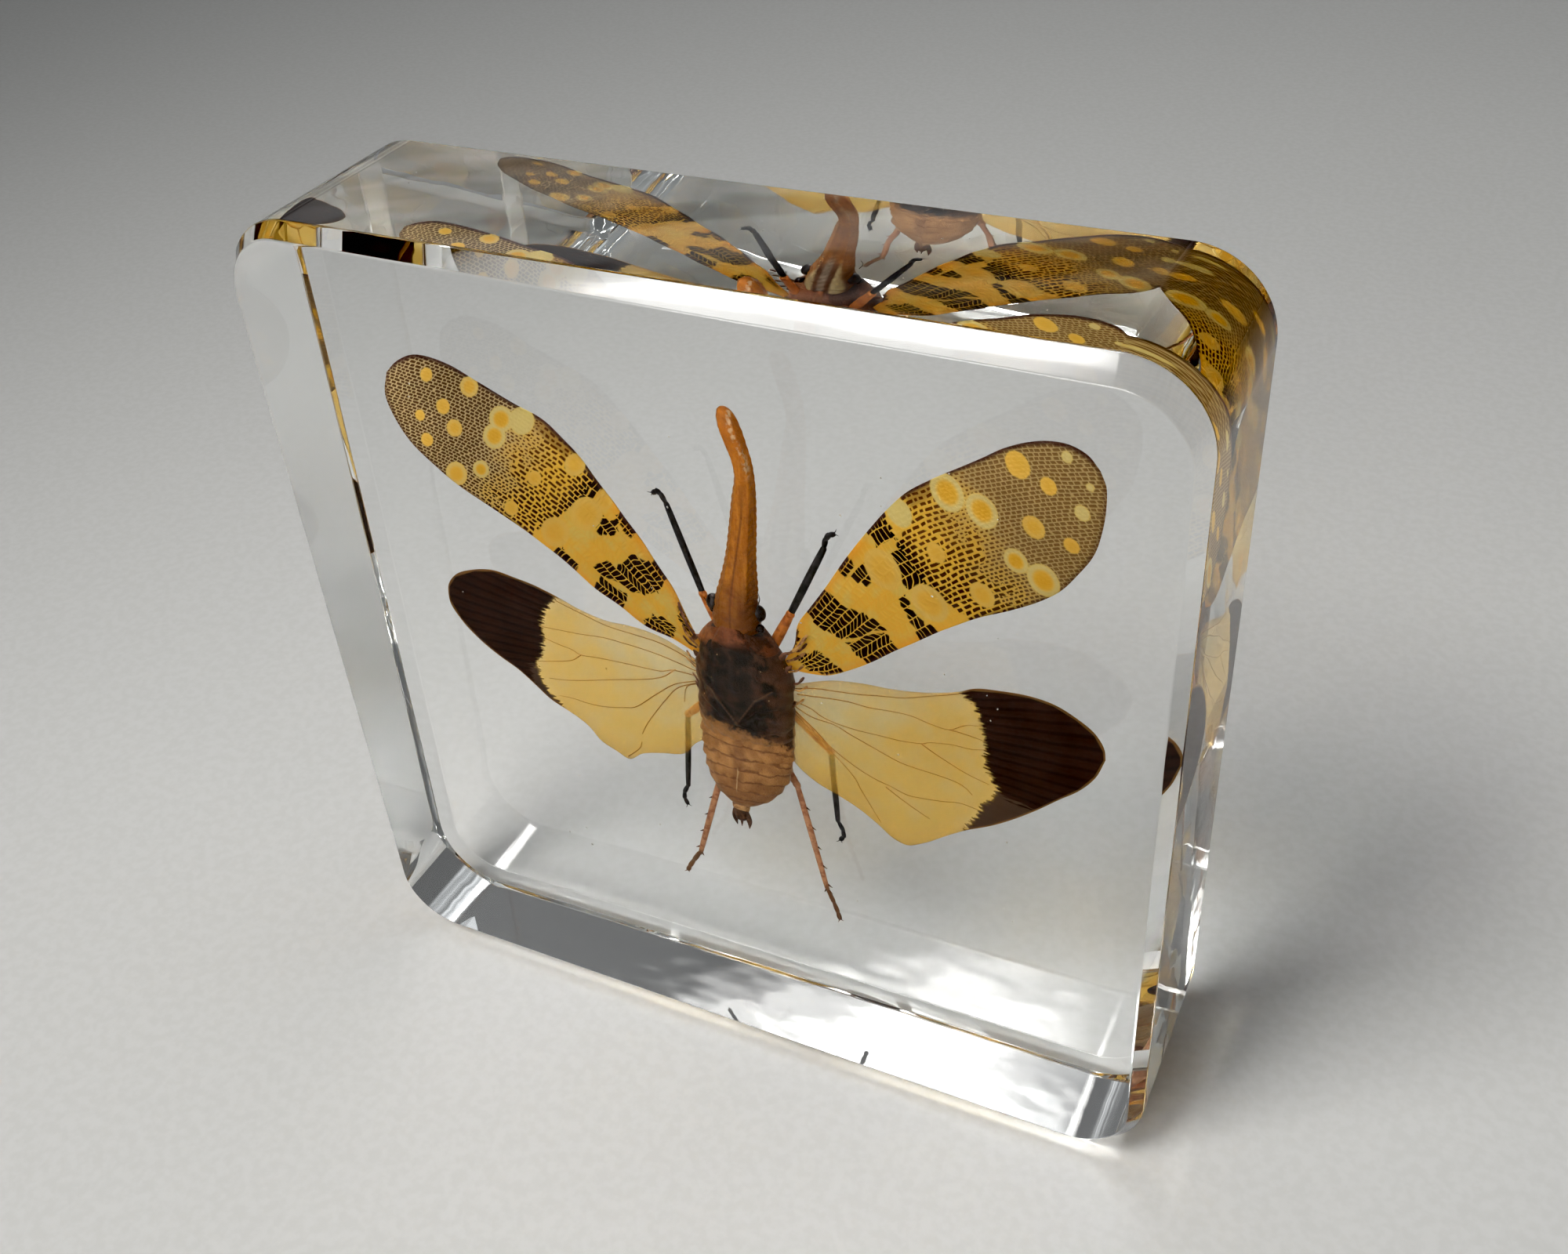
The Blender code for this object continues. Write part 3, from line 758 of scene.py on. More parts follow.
collar_red, tree, shader = new_material("collar_red", SOFT_GLOSS)
place = place_in_mm(tree)
x, y, z = place.split()
wander = place.clouds(1.0, 4.0)
drifted = x + wander.step(0.3, 0.7, -0.9, 0.9)
# Painted shadow: a dark band right of the middle, under the right eye, lighter again at the right
# lobe.
shade_under_eye = drifted.step(1.4, 2.4) * drifted.step(4.2, 3.4, 0.3, 1.0)
hind_edge = z + (x - 0.9) ** 2.0 * 0.115 + wander.step(0.3, 0.7, -0.3, 0.3)
lobes = coated(COLLAR_RED, (drifted.step(0.2, -2.2), COLLAR_ORANGE), (shade_under_eye * 0.8, COLLAR_DARK),
               (hind_edge.step(45.75, 44.85, 0.0, 0.9), BLACK_BROWN))
mottled, rough, grain = chitin(tree, lobes, COLLAR_DARK, 1.1, 4.5)
dress(shader, coated(lobes, (0.4, mottled)), rough, grain, 0.12)
insect_piece("collar", skin(40, 96, collar_surface), collar_red)

# Head: drawn out into a long upright snout with fine keels, orange-brown, brighter at its blunt
# tip, with a pale, broken painted highlight along the tip's right edge. Its underside has a grey
# stripe between brown keels.
HEAD_SECTIONS = ((45.6, 0.85, 2.1, 1.90, 2.1), (46.4, 0.90, 2.1, 2.15, 2.35),
    (47.0, 0.95, 2.1, 2.20, 2.4), (47.8, 1.00, 2.1, 2.08, 2.3), (49.0, 1.10, 2.0, 1.90, 2.1),
    (50.4, 1.40, 1.9, 1.70, 1.8), (53.0, 1.80, 1.9, 1.36, 1.45), (56.0, 2.20, 1.9, 1.18, 1.20),
    (59.0, 2.55, 1.9, 1.03, 1.05), (61.3, 2.75, 1.9, 0.84, 0.95), (62.6, 2.60, 1.9, 0.87, 0.92),
    (64.0, 2.20, 1.9, 0.94, 0.95), (65.6, 1.75, 1.9, 0.93, 0.95), (66.4, 1.52, 2.0, 0.76, 0.80),
    (66.9, 1.38, 2.0, 0.48, 0.50), (67.1, 1.32, 2.0, 0.22, 0.22))
SNOUT_KEELS = (-2.25, -0.90, 0.02, math.pi - 0.02, 0.95, 2.20)
KEEL_HEIGHT = 0.10
SNOUT_BROWN = (0.440, 0.165, 0.024)
SNOUT_LIGHT = (0.580, 0.245, 0.042)
SNOUT_TIP = (0.460, 0.165, 0.022)
SNOUT_DARK = (0.140, 0.052, 0.022)
SNOUT_HIGHLIGHT = (0.640, 0.480, 0.310)
FACE_GREY = (0.300, 0.240, 0.180)
FACE_CREAM = (0.560, 0.450, 0.250)


def head_surface(along, turn):
    """Points of the head and snout, from inside the collar up to the tip."""
    height, shift, depth, half_width, half_depth = section_sizes(HEAD_SECTIONS, along[:, 0] ** 0.9)
    keels = sum(bump_at((turn - keel + math.pi) % math.tau - math.pi, 0.13) for keel in SNOUT_KEELS)
    low = np.clip((height - 47.5) / 3, 0, 1)
    wrinkle = 0.02 * np.sin(8 * height + 3 * np.sin(4 * turn)) + 0.008 * np.sin(21 * height)
    out = 1 + (KEEL_HEIGHT * keels * low - 0.03 * low + wrinkle)
    return as_points(shift + half_width * out * np.cos(turn),
                     depth + half_depth * out * np.sin(turn), height)


snout_brown, tree, shader = new_material("snout_brown", SOFT_GLOSS)
place = place_in_mm(tree)
x, y, z = place.split()
wander = place.clouds(0.5)
fibres = add(tree, "Mapping", {"Vector": place, "Scale": (2.2, 2.2, 0.22)}).clouds(1.3, 4.0)
back_line = abs(x - z.step(47.0, 61.0, 0.95, 2.75)).step(0.04, 0.16, 0.55, 0.0)
right_foot = x.step(0.9, 2.3) * z.step(53.0, 48.0, 0.0, 0.5)
# Painted highlight: a pale streak, broken up by noise, along the snout tip's right edge.
highlight_line = abs(x - z.step(62.0, 66.6, 3.20, 1.95)).step(0.10, 0.32, 1.0, 0.0)
painted_highlight = highlight_line * z.step(60.8, 62.2) * place.clouds(2.6, 4.0).step(0.42, 0.58)
off_stripe = abs(x - z.step(46.0, 61.5, 0.9, 2.75))
face = coated(FACE_GREY, (off_stripe.step(0.28, 0.42), SNOUT_DARK),
              (off_stripe.step(0.75, 0.95), FACE_CREAM))
whole = coated(
    SNOUT_BROWN, (fibres.step(0.35, 0.7), SNOUT_LIGHT),
    (wander.step(0.55, 0.75) * 0.35, SNOUT_DARK), (back_line * z.step(61.0, 57.0), SNOUT_DARK),
    (z.step(53.0, 47.5, 0.0, 0.55), SNOUT_DARK), (right_foot, SNOUT_DARK),
    (z.step(60.5, 65.5), SNOUT_TIP), (painted_highlight * 0.75, SNOUT_HIGHLIGHT),
    (y.step(3.05, 3.45) * z.step(58.0, 52.0), face))
mottled, rough, grain = chitin(tree, whole, SNOUT_DARK, 1.0, 5.0)
dress(shader, coated(whole, (0.28, mottled)), rough, grain, 0.06)
insect_piece("head_snout", skin(260, 72, head_surface), snout_brown)

# Underside: the coxae that carry the legs, the beak between them, and rows of cream warts on the
# face. They show from behind and, mirrored, through the top of the block.
COXAE = (((-1.4, 4.2, 44.6), (-0.9, 4.9, 43.0), 0.95), ((2.9, 4.2, 44.4), (2.5, 4.9, 42.8), 0.95),
    ((-2.2, 4.3, 40.6), (-1.2, 5.0, 38.6), 1.15), ((4.2, 4.3, 40.8), (3.3, 5.0, 38.9), 1.15),
    ((-1.6, 4.2, 36.8), (-0.3, 4.7, 35.1), 1.15), ((3.6, 4.2, 36.6), (2.3, 4.7, 34.9), 1.15))
COXA_SWELL = (0.75, 0.95, 1.0, 0.95, 0.8, 0.6)
BEAK = ((0.95, 4.5, 46.8), (0.92, 5.0, 44.5), (0.9, 5.3, 41.0), (0.9, 5.2, 37.5))
BEAK_RADII = (0.45, 0.42, 0.33, 0.20)
WARTS = 7
WART_RADIUS = 0.19
COXA_ORANGE = (0.360, 0.130, 0.042)

coxa_orange = horny("coxa_orange", COXA_ORANGE, RUST, 1.0, 5.0, 0.07)
wart_cream = horny("wart_cream", FACE_CREAM, TAN, 2.0, 8.0, 0.03, gloss=0.5)
under_forms = [knob(*coxa, COXA_SWELL, 18, 0.75) for coxa in COXAE]
beak_radii = np.interp(np.linspace(0, 3, 16), range(4), BEAK_RADII)
under_forms.append(tube(curve_through(BEAK, 16), beak_radii))
insect_piece("coxae_and_beak", joined(under_forms), coxa_orange)
wart_forms = []
for i in range(WARTS):
    rise = 47.2 + 0.95 * i
    spread = 1.25 - 0.07 * i
    middle = 0.95 + 0.11 * (rise - 47)
    radius = WART_RADIUS * (1 - 0.07 * i)
    for side in (-1, 1):
        x, y, z = middle + side * spread, 3.75 - 0.13 * i, rise
        wart_forms.append(tube([(x, y, z), (x, y + 0.02, z + 0.12)], (radius, radius), 10))
insect_piece("face_warts", joined(wart_forms), wart_cream)

# Eyes and antennae: dark domed eyes that bulge from the sides of the head, each with a knobbed
# antenna below it that ends in a hair.
EYES = ((-1.15, 2.0, 48.1, 0.74), (3.0, 2.1, 47.9, 0.74))
ANTENNAE = (((-1.35, 2.9, 47.05), (-1.75, 3.3, 46.75), 0.42), ((3.05, 1.6, 46.75),
    (3.45, 1.3, 46.5), 0.46))
ANTENNA_SWELL = (0.6, 0.9, 1.0, 1.0, 0.85, 0.5)
BRISTLES = (((-1.75, 3.3, 46.75), (-2.5, 3.5, 47.6), (-2.7, 3.4, 48.8)), ((3.25, 1.1, 49.0),
    (3.55, 1.0, 49.9), (3.35, 1.0, 50.8)))
EYE_GLOSS = 0.6
EYE_BLACK = (0.006, 0.004, 0.004)
EYE_RED = (0.055, 0.016, 0.012)

eye_black, tree, shader = new_material("eye_black", EYE_GLOSS)
facets = place_in_mm(tree).dots(9.0)
eye_colour = coated(EYE_RED, (facets.step(0.1, 0.6), EYE_BLACK))
dress(shader, eye_colour, facets.step(0.0, 0.5, 0.12, 0.3), facets, 0.02)


def eye_surface(x, y, z, radius):
    """Surface function of a domed eye, a little longer than wide."""
    def surface(along, turn):
        lift = (along - 0.5) * math.pi * 0.98
        out = np.cos(lift) * (1 + 0.02 * np.cos(3 * turn))
        return as_points(x + radius * 0.92 * out * np.cos(turn), y + radius * out * np.sin(turn),
                         z + 1.12 * radius * np.sin(lift))
    return surface


eye_forms = [skin(22, 28, eye_surface(*eye)) for eye in EYES]
eye_forms += [knob(*antenna, ANTENNA_SWELL, 14) for antenna in ANTENNAE]
eye_forms += [tube(curve_through(bristle, 10), np.linspace(0.05, 0.02, 10), 6)
              for bristle in BRISTLES]
insect_piece("eyes_and_antennae", joined(eye_forms), eye_black)

# Legs: fore and middle ones with orange thighs and slim black shins, hind ones tan with a row of
# spines on the outer side. Each ends in a jointed foot and a pair of hooked claws.
FORE_RADII = (0.50, 0.36, 0.26, 0.20)
MID_RADII = (0.48, 0.32, 0.24, 0.20)
HIND_RADII = (0.50, 0.34, 0.26, 0.20)
LEGS = (("foreleg_left", FORE_RADII, -1, (-0.6, 4.0, 43.0), (-2.7, 3.8, 47.9), (-5.2, 3.5, 56.4),
    (-5.8, 3.5, 57.5), (-6.5, 3.5, 57.2)), ("foreleg_right", FORE_RADII, 1, (2.9, 4.0, 42.5),
    (5.5, 3.8, 47.8), (8.9, 3.5, 55.2), (9.2, 3.5, 56.4), (10.0, 3.5, 56.9)), ("midleg_left",
    MID_RADII, -1, (-1.2, 4.6, 38.0), (-5.8, 4.7, 33.4), (-6.6, 4.6, 24.6), (-7.2, 4.6, 23.2),
    (-6.8, 4.6, 21.8)), ("midleg_right", MID_RADII, 1, (3.0, 4.6, 38.5), (8.4, 4.7, 33.3),
    (8.8, 4.6, 25.3), (9.4, 4.6, 23.9), (8.9, 4.6, 22.7)), ("hindleg_left", HIND_RADII, -1,
    (0.0, 4.4, 34.5), (-2.4, 4.6, 28.8), (-6.0, 4.6, 16.3), (-7.2, 4.6, 14.2), (-7.9, 4.6, 12.7)),
    ("hindleg_right", HIND_RADII, 1, (2.0, 4.4, 34.0), (4.9, 4.6, 28.3), (7.4, 4.6, 16.2),
    (8.2, 4.6, 14.0), (8.7, 4.6, 12.1)))
HIND_SPINES = 5
SPINE_LENGTH = 0.8
SPINE_RADIUS = 0.12
SPINE_FAN = (-0.7, -0.25, 0.25, 0.7)
JOINT_SHARE = 0.82
CLAW_LENGTH = 0.55
HIND_FOOT = (17.0, 15.8)
THIGH_ORANGE = (0.680, 0.260, 0.065)
THIGH_RUST = (0.400, 0.130, 0.040)
SHIN_BLACK = (0.010, 0.009, 0.010)
SHIN_GREY = (0.035, 0.032, 0.034)
HIND_TAN = (0.540, 0.290, 0.160)
HIND_RUST = (0.340, 0.150, 0.080)
FOOT_BROWN = (0.170, 0.080, 0.036)

thigh = horny("thigh_orange", THIGH_ORANGE, THIGH_RUST, 1.3, 7.0, 0.04)
shin = horny("shin_black", SHIN_BLACK, SHIN_GREY, 1.3, 7.0, 0.04)
hind, tree, shader = new_material("hind_tan", SOFT_GLOSS)
mottled, rough, grain = chitin(tree, HIND_TAN, HIND_RUST, 1.3, 7.0)
to_foot = place_in_mm(tree).split()[2].step(*HIND_FOOT)
dress(shader, coated(mottled, (to_foot, FOOT_BROWN)), rough, grain, 0.04)


def rod(start, end, start_radius, end_radius, middle=1.0, steps=7, sides=12, flat=1.0):
    """A leg segment: narrow at its joints and fuller between them."""
    shares = [i / (steps - 1) for i in range(steps)]
    swells = [JOINT_SHARE + (middle - JOINT_SHARE) * math.sin(math.pi * share) ** 0.6
              for share in shares]
    radii = [(start_radius + (end_radius - start_radius) * share) * swell
             for share, swell in zip(shares, swells)]
    return tube([Vector(start).lerp(Vector(end), share) for share in shares], radii, sides, flat)


def foot(ankle, toe, claw, radius):
    """Three short spurred joints from the ankle past the toe, and two thin hooked claws."""
    knots = [ankle, toe, toe.lerp(claw, 0.7)]
    path = [Vector(point) for point in curve_through(knots, 10)]
    forms = []
    for start, end in ((path[0], path[3]), (path[3], path[6]), (path[6], path[9])):
        forms.append(rod(start, end, radius * 0.72, radius * 1.15, 1.0, 5, 10))
        ahead = (end - start).normalized()
        aside = ahead.cross(Vector((0, 1, 0)))
        for side in (-1, 1):
            spur = ahead * 0.20 + aside * side * 0.15
            forms.append(tube([end - ahead * 0.08, end + spur], (radius * 0.42, radius * 0.1), 6))
    ahead = (claw - toe).normalized()
    aside = ahead.cross(Vector((0, 1, 0)))
    tip = path[-1]
    for side in (-1, 1):
        apart = Vector((0, 0.10 * side, 0)) + aside * 0.12 * side
        hook = [tip, tip + ahead * CLAW_LENGTH * 0.55 + apart,
                tip + ahead * CLAW_LENGTH * 0.85 + apart * 2.2]
        forms.append(tube(curve_through(hook, 7), np.linspace(0.060, 0.015, 7), 8))
    return forms


def hind_spines(knee, ankle, side):
    """The row of spines down a hind shin's outer side, and the fan of them round its end."""
    down = (ankle - knee).normalized()
    out = (Vector((side, 0, 0)) + down * 0.7).normalized() * SPINE_LENGTH
    spines = []
    for i in range(HIND_SPINES):
        root = knee.lerp(ankle, (i + 1) / (HIND_SPINES + 0.3))
        spines.append(tube([root, root + out * 0.55, root + out],
                           [SPINE_RADIUS * share for share in (1.4, 0.8, 0.25)], 8))
    for spread in SPINE_FAN:
        end = ankle + (down + Vector((spread, 0, 0))) * 0.6
        spines.append(tube([ankle, end], (SPINE_RADIUS * 1.3, SPINE_RADIUS * 0.25), 8))
    return spines


for name, radii, side, *joints in LEGS:
    hip, knee, ankle, toe, claw = [Vector(joint) for joint in joints]
    hindmost = name.startswith("hindleg")
    upper = [rod(hip, knee, radii[0] * 0.95, radii[0] * 0.85, 1.08, 9, 14, 0.8),
             tube([knee.lerp(hip, 0.03), knee], (radii[0] * 0.8, radii[1] * 1.15))]
    lower = [rod(knee, ankle, radii[1] * 1.02, radii[1] * 0.92, 1.0, 11, 12, 0.85),
             *foot(ankle, toe, claw, radii[2])]
    spines = hind_spines(knee, ankle, side) if hindmost else []
    insect_piece(name, joined(upper, lower, spines), hind if hindmost else thigh,
                 hind if hindmost else shin, tail_brown)

# Forewings: leathery, spread flat. Pale veins net the dark brown tip third and middle, the base is
# golden with black barred patches, and round yellow spots, some in pale rings, are strewn over all.
WING_THICKNESS = 0.14
WING_CAMBER_SHARE = 0.03
WING_TILT = 0.1
FOREWING_DEPTH = 2.7
# Outlines and places are along and across a wing from its root. A spot has its place, its radius
# and how far it is ringed, 2 for one that is pale all over.
FOREWING_LEFT = {
    "root": (-3.73, 43.29), "angle": 36.8, "side": -1,
    "leading": ((-1.2, -0.1), (0.3, 0.6), (3.9, 2.8), (5.7, 3.5), (9.3, 4.9), (13.9, 6.3),
        (18.1, 7.5), (21.2, 7.8), (24.1, 7.1), (27.6, 6.3), (30.2, 5.8), (31.8, 5.1), (33.4, 3.9),
        (34.3, 2.2), (34.55, 0.6)),
    "trailing": ((-1.2, -1.0), (1.0, -1.5), (3.6, -2.5), (6.4, -2.7), (9.1, -3.0), (11.4, -2.95),
        (14.3, -2.9), (16.5, -3.1), (19.9, -3.5), (23.5, -4.1), (26.1, -4.2), (28.3, -4.1),
        (30.2, -3.7), (32.0, -2.9), (33.6, -1.6), (34.55, 0.6)),
    "spots": ((31.5, 3.4, 0.6, 0), (27.9, 5.4, 0.9, 0.5), (28.9, 1.9, 0.7, 0), (30.2, -0.6, 0.5, 0),
        (27.1, 0.9, 0.8, 0.3), (28.6, -2.3, 0.65, 0), (23.9, 3.1, 1.15, 1), (24.2, 5.0, 1.2, 1),
        (22.7, 6.3, 1.25, 2), (23.3, -0.8, 0.85, 1), (24.9, -3.2, 1.15, 0.6), (19.1, 2.4, 0.7, 0),
        (17.0, 6.4, 1.0, 0.2), (19.3, -2.1, 0.75, 0), (13.8, 3.1, 1.6, 0.15),
        (15.0, -0.9, 1.5, 0.15), (13.2, 5.4, 0.8, 0.1)),
    "netted": (((17.8, 8.6), (15.9, 7.6), (14.3, 5.3), (15.1, 2.5), (16.0, -0.3), (16.4, -2.5),
        (16.8, -4.6), (38.0, -9.0), (38.0, 12.0)), ((15.9, 6.0), (15.8, 7.6), (13.9, 6.9),
        (14.0, 5.6), (14.3, 4.8), (15.1, 4.9)), ((12.6, 2.7), (12.6, 4.1), (12.1, 4.2), (11.4, 5.0),
        (10.7, 3.9), (11.1, 2.8), (11.8, 2.4)), ((11.8, 5.1), (11.6, 6.2), (9.4, 5.4), (9.6, 4.1),
        (10.3, 4.2), (11.1, 4.6)), ((14.4, -3.3), (13.7, -1.6), (11.7, -2.1), (11.5, -3.3)),
        ((10.6, -1.2), (10.2, 0.2), (9.0, 0.9), (8.6, 3.3), (7.2, 3.3), (6.9, 4.3), (5.1, 3.6),
        (5.0, 2.3), (4.9, 1.5), (5.9, 0.0), (8.1, -0.7)), ((9.5, -2.4), (9.5, -1.4), (6.8, -0.9),
        (6.5, -1.8), (6.2, -3.2), (9.2, -3.6)), ((4.3, -2.2), (4.0, -0.8), (2.7, -0.1), (1.7, -0.3),
        (1.3, -1.5), (2.1, -2.6), (3.3, -3.0)), ((2.9, 1.9), (2.4, 1.8), (0.5, 0.6), (0.1, -0.1),
        (1.1, 0.2), (2.2, 0.8))),
}
FOREWING_RIGHT = {
    "root": (6.07, 44.89), "angle": 37.4, "side": 1,
    "leading": ((-1.8, -0.6), (0.0, 0.2), (1.7, 1.7), (3.9, 2.6), (6.3, 3.5), (9.9, 5.0),
        (13.3, 6.2), (15.9, 7.0), (18.4, 7.5), (20.8, 7.5), (22.9, 7.35), (25.4, 7.2), (27.5, 7.1),
        (29.3, 6.75), (30.9, 6.1), (32.2, 5.1), (32.9, 3.8), (33.1, 2.5)),
    "trailing": ((-1.8, -1.6), (-0.3, -2.6), (1.4, -3.4), (3.5, -3.7), (6.0, -3.8), (8.8, -3.7),
        (11.3, -3.7), (14.1, -3.7), (17.2, -3.9), (20.5, -4.4), (22.9, -4.65), (24.7, -4.55),
        (26.9, -3.9), (29.1, -2.9), (30.6, -1.6), (32.0, 0.0), (32.8, 1.3), (33.1, 2.5)),
    "spots": ((27.8, 5.6, 1.0, 0), (31.5, 4.5, 0.42, 2), (29.0, 3.2, 0.65, 0), (31.8, 1.8, 0.3, 2),
        (21.4, 6.1, 1.45, 1), (23.1, 3.7, 1.35, 1), (26.1, 0.9, 0.9, 0.2), (30.1, 0.3, 0.6, 2),
        (27.9, -1.6, 0.62, 0), (17.6, 2.3, 0.8, 0), (23.2, -0.9, 1.0, 1), (24.2, -3.2, 1.35, 1),
        (18.9, -2.3, 1.05, 0.2), (16.7, 6.4, 1.15, 2), (12.4, 2.9, 1.7, 0.2),
        (14.3, -1.2, 1.6, 0.35)),
    "netted": (((17.9, 8.6), (17.2, 5.4), (15.2, 4.4), (14.3, 4.0), (13.6, 3.1), (13.5, 1.7),
        (13.3, 0.8), (15.1, -0.3), (15.8, -1.8), (16.2, -2.9), (16.9, -4.8), (38.0, -9.0),
        (38.0, 12.0)), ((13.0, 6.8), (15.5, 7.8), (15.5, 6.1), (15.3, 4.6), (12.9, 4.5),
        (13.1, 5.2)), ((9.2, 3.6), (11.3, 4.1), (10.9, 2.5), (10.0, 2.2)), ((8.6, 5.0), (10.4, 5.8),
        (10.2, 4.2), (8.6, 3.6)), ((12.0, 0.1), (13.0, 0.6), (12.5, -1.2), (12.7, -2.5),
        (14.0, -4.4), (11.4, -4.4), (11.6, -2.5)), ((3.5, 2.9), (5.9, 4.0), (6.7, 2.7), (6.8, 1.7),
        (8.9, -0.4), (9.2, -1.7), (5.0, -1.1), (3.4, 1.0)), ((5.0, -1.3), (8.9, -1.8), (9.2, -4.4),
        (6.0, -4.4), (5.1, -2.7)), ((-0.4, -0.6), (2.0, -1.0), (2.8, -3.5), (1.2, -3.2),
        (-0.3, -2.3)), ((1.6, 1.5), (0.9, 1.2), (-0.4, 0.4), (-0.2, 0.0), (0.9, 0.5))),
}
SPOT_SHAPE = (1.16, 0.90)
WING_ROWS = 250
WING_COLUMNS = 84
ROWS_CURVE_FROM = 17.0
ROWS_CURVE = 0.0165
ROWS_FAN_TO = 14.0
# The nets of the tip, the golden middle and the barred base: how their lines are shaken, their
# cells' length and breadth, and how much their cross veins slant.
NETS = (((0.35, 0.20, 0.0), 0.44, 0.35, 0.3), ((0.55, 0.45, 0.0), 0.66, 0.47, 0.4),
        ((0.90, 0.35, 0.0), 0.50, 1.10, 2.2))
GOLDEN_TO = 21.0
BARRED_TO = 15.0
GOLD = (0.880, 0.600, 0.120)
GOLD_PALE = (0.820, 0.640, 0.190)
WING_ORANGE = (0.900, 0.440, 0.045)
VEIN_MIDDLE = (0.900, 0.610, 0.110)
CELL_MIDDLE = (0.078, 0.024, 0.009)
CELL_PALE = (0.330, 0.130, 0.028)
CELL_BASE = (0.026, 0.008, 0.006)
TIP_LEFT = ((0.145, 0.076, 0.030), (0.640, 0.500, 0.270))
TIP_RIGHT = ((0.300, 0.185, 0.072), (0.580, 0.430, 0.200))
SPOT_YELLOW = (0.870, 0.610, 0.150)
SPOT_DEEP = (0.820, 0.520, 0.080)
SPOT_RING = (0.780, 0.660, 0.290)
FRINGE_BROWN = (0.260, 0.115, 0.055)
EDGE_BROWN = (0.100, 0.040, 0.034)
WING_GLOSS = 0.2
FOREWING_GLOW = 0.42
# What the mesh stores for its net: the place among the net's rows, the netted patches with their
# slope, the nearest spot, and how far the edges are.
NET_MARKS = ("Place", "Netted", "Spot", "Margin")


def signed_distance(x, z, outline):
    """How far each point is from a closed outline, negative inside it."""
    inside = np.zeros(x.shape, bool)
    near = np.full(x.shape, 1e9)
    for start, end in zip(outline, outline[1:] + outline[:1]):
        near = np.minimum(near, off_segment(x, z, start, end))
        crosses = (start[1] > z) != (end[1] > z)
        rise = end[1] - start[1] or 1e-9
        inside ^= crosses & (x < start[0] + (z - start[1]) / rise * (end[0] - start[0]))
    return np.where(inside, -near, near)


def edge_curve(points, shares):
    """Places along an outline's edge, at shares of its length."""
    table = np.array(points, float)
    steps = np.hypot(*np.diff(table, axis=0).T)
    length = np.concatenate([[0], np.cumsum(steps)])
    return eased(length, table, shares * length[-1])


def wing_plan(wing, rows, columns):
    """Places on a flattened wing, along and across its axis, from leading to trailing edge."""
    share = 1 - (1 - np.linspace(0, 1, rows)) ** 1.25
    leading, trailing = [edge_curve(wing[edge], share)[:, None, :]
                         for edge in ("leading", "trailing")]
    over = np.linspace(0, 1, columns)[None, :, None]
    return leading * (1 - over) + trailing * over


def chord_at(wing, along):
    """The leading and trailing edges' places across, at distances along the axis."""
    return [np.interp(along, *np.array(wing[edge])[:-1].T) for edge in ("leading", "trailing")]


def off_rim(wing, along, across):
    """How far inside the wing's outline each point is."""
    return -signed_distance(along, across, [*wing["leading"], *wing["trailing"][::-1]])


def wing_in_place(wing, plan, depth, lift):
    """Points in the block's frame for places on the flattened wing."""
    along, across = plan[..., 0], plan[..., 1]
    turn = math.radians(wing["angle"])
    x = wing["root"][0] + wing["side"] * (along * math.cos(turn) - across * math.sin(turn))
    z = wing["root"][1] + along * math.sin(turn) + across * math.cos(turn)
    high, low = chord_at(wing, along)
    share = np.clip((across - low) / np.maximum(high - low, 0.5), 0, 1)
    camber = WING_CAMBER_SHARE * (high - low) * np.sin(math.pi * share)
    return as_points(x, depth + WING_TILT * across - camber + lift, z)


def wing_plate(wing, plan, depth, lift, thickness):
    """Points and faces of the wing as a thin closed plate, its front grid first."""
    rows, columns, _ = plan.shape
    count = rows * columns
    grids = [wing_in_place(wing, plan, depth, lift + way * thickness / 2) for way in (-1, 1)]
    points = np.concatenate([grid.reshape(-1, 3) for grid in grids])
    faces = grid_faces(rows, columns, closed=False)
    faces += [face[::-1] for face in grid_faces(rows, columns, count, closed=False)]
    rim = [row * columns for row in range(rows)]
    rim += [(rows - 1) * columns + column for column in range(1, columns)]
    rim += [row * columns + columns - 1 for row in range(rows - 2, -1, -1)]
    rim += range(columns - 2, 0, -1)
    faces += [(low, high, high + count, low + count) for low, high in zip(rim, rim[1:] + rim[:1])]
    return points, faces


def net_cells(tree, place, length, breadth, slant):
    """Cells in staggered rows: how far a point is from a vein, and the way to its cell's middle."""
    x, y, scale = place.split()
    height = scale * breadth
    up = y / breadth
    line = up.worked("FLOOR")
    within = up - line
    chance = add(tree, "TexWhiteNoise", {"W": line}, "Value", noise_dimensions="1D")
    drift_at = add(tree, "CombineXYZ", {"X": x, "Y": line * 5.3})
    drift = add(tree, "TexNoise", {"Vector": drift_at, "Scale": 0.9, "Detail": 1.0}, "Fac")
    lean = (within - 0.5) * ((chance - 0.5) * slant)
    stagger = line * 0.5 + chance * 0.3
    run = x / length + (stagger + lean) + drift * 1.6
    beside = run.worked("PINGPONG", 0.5) * length
    above = up.worked("PINGPONG", 0.5) * height
    middle = add(tree, "CombineXYZ", {"X": (0.5 - run.worked("FRACT")) * length,
                                      "Y": (0.5 - within) * height, "Z": 1.0})
    return beside.worked("SMOOTH_MIN", above, 0.09), middle


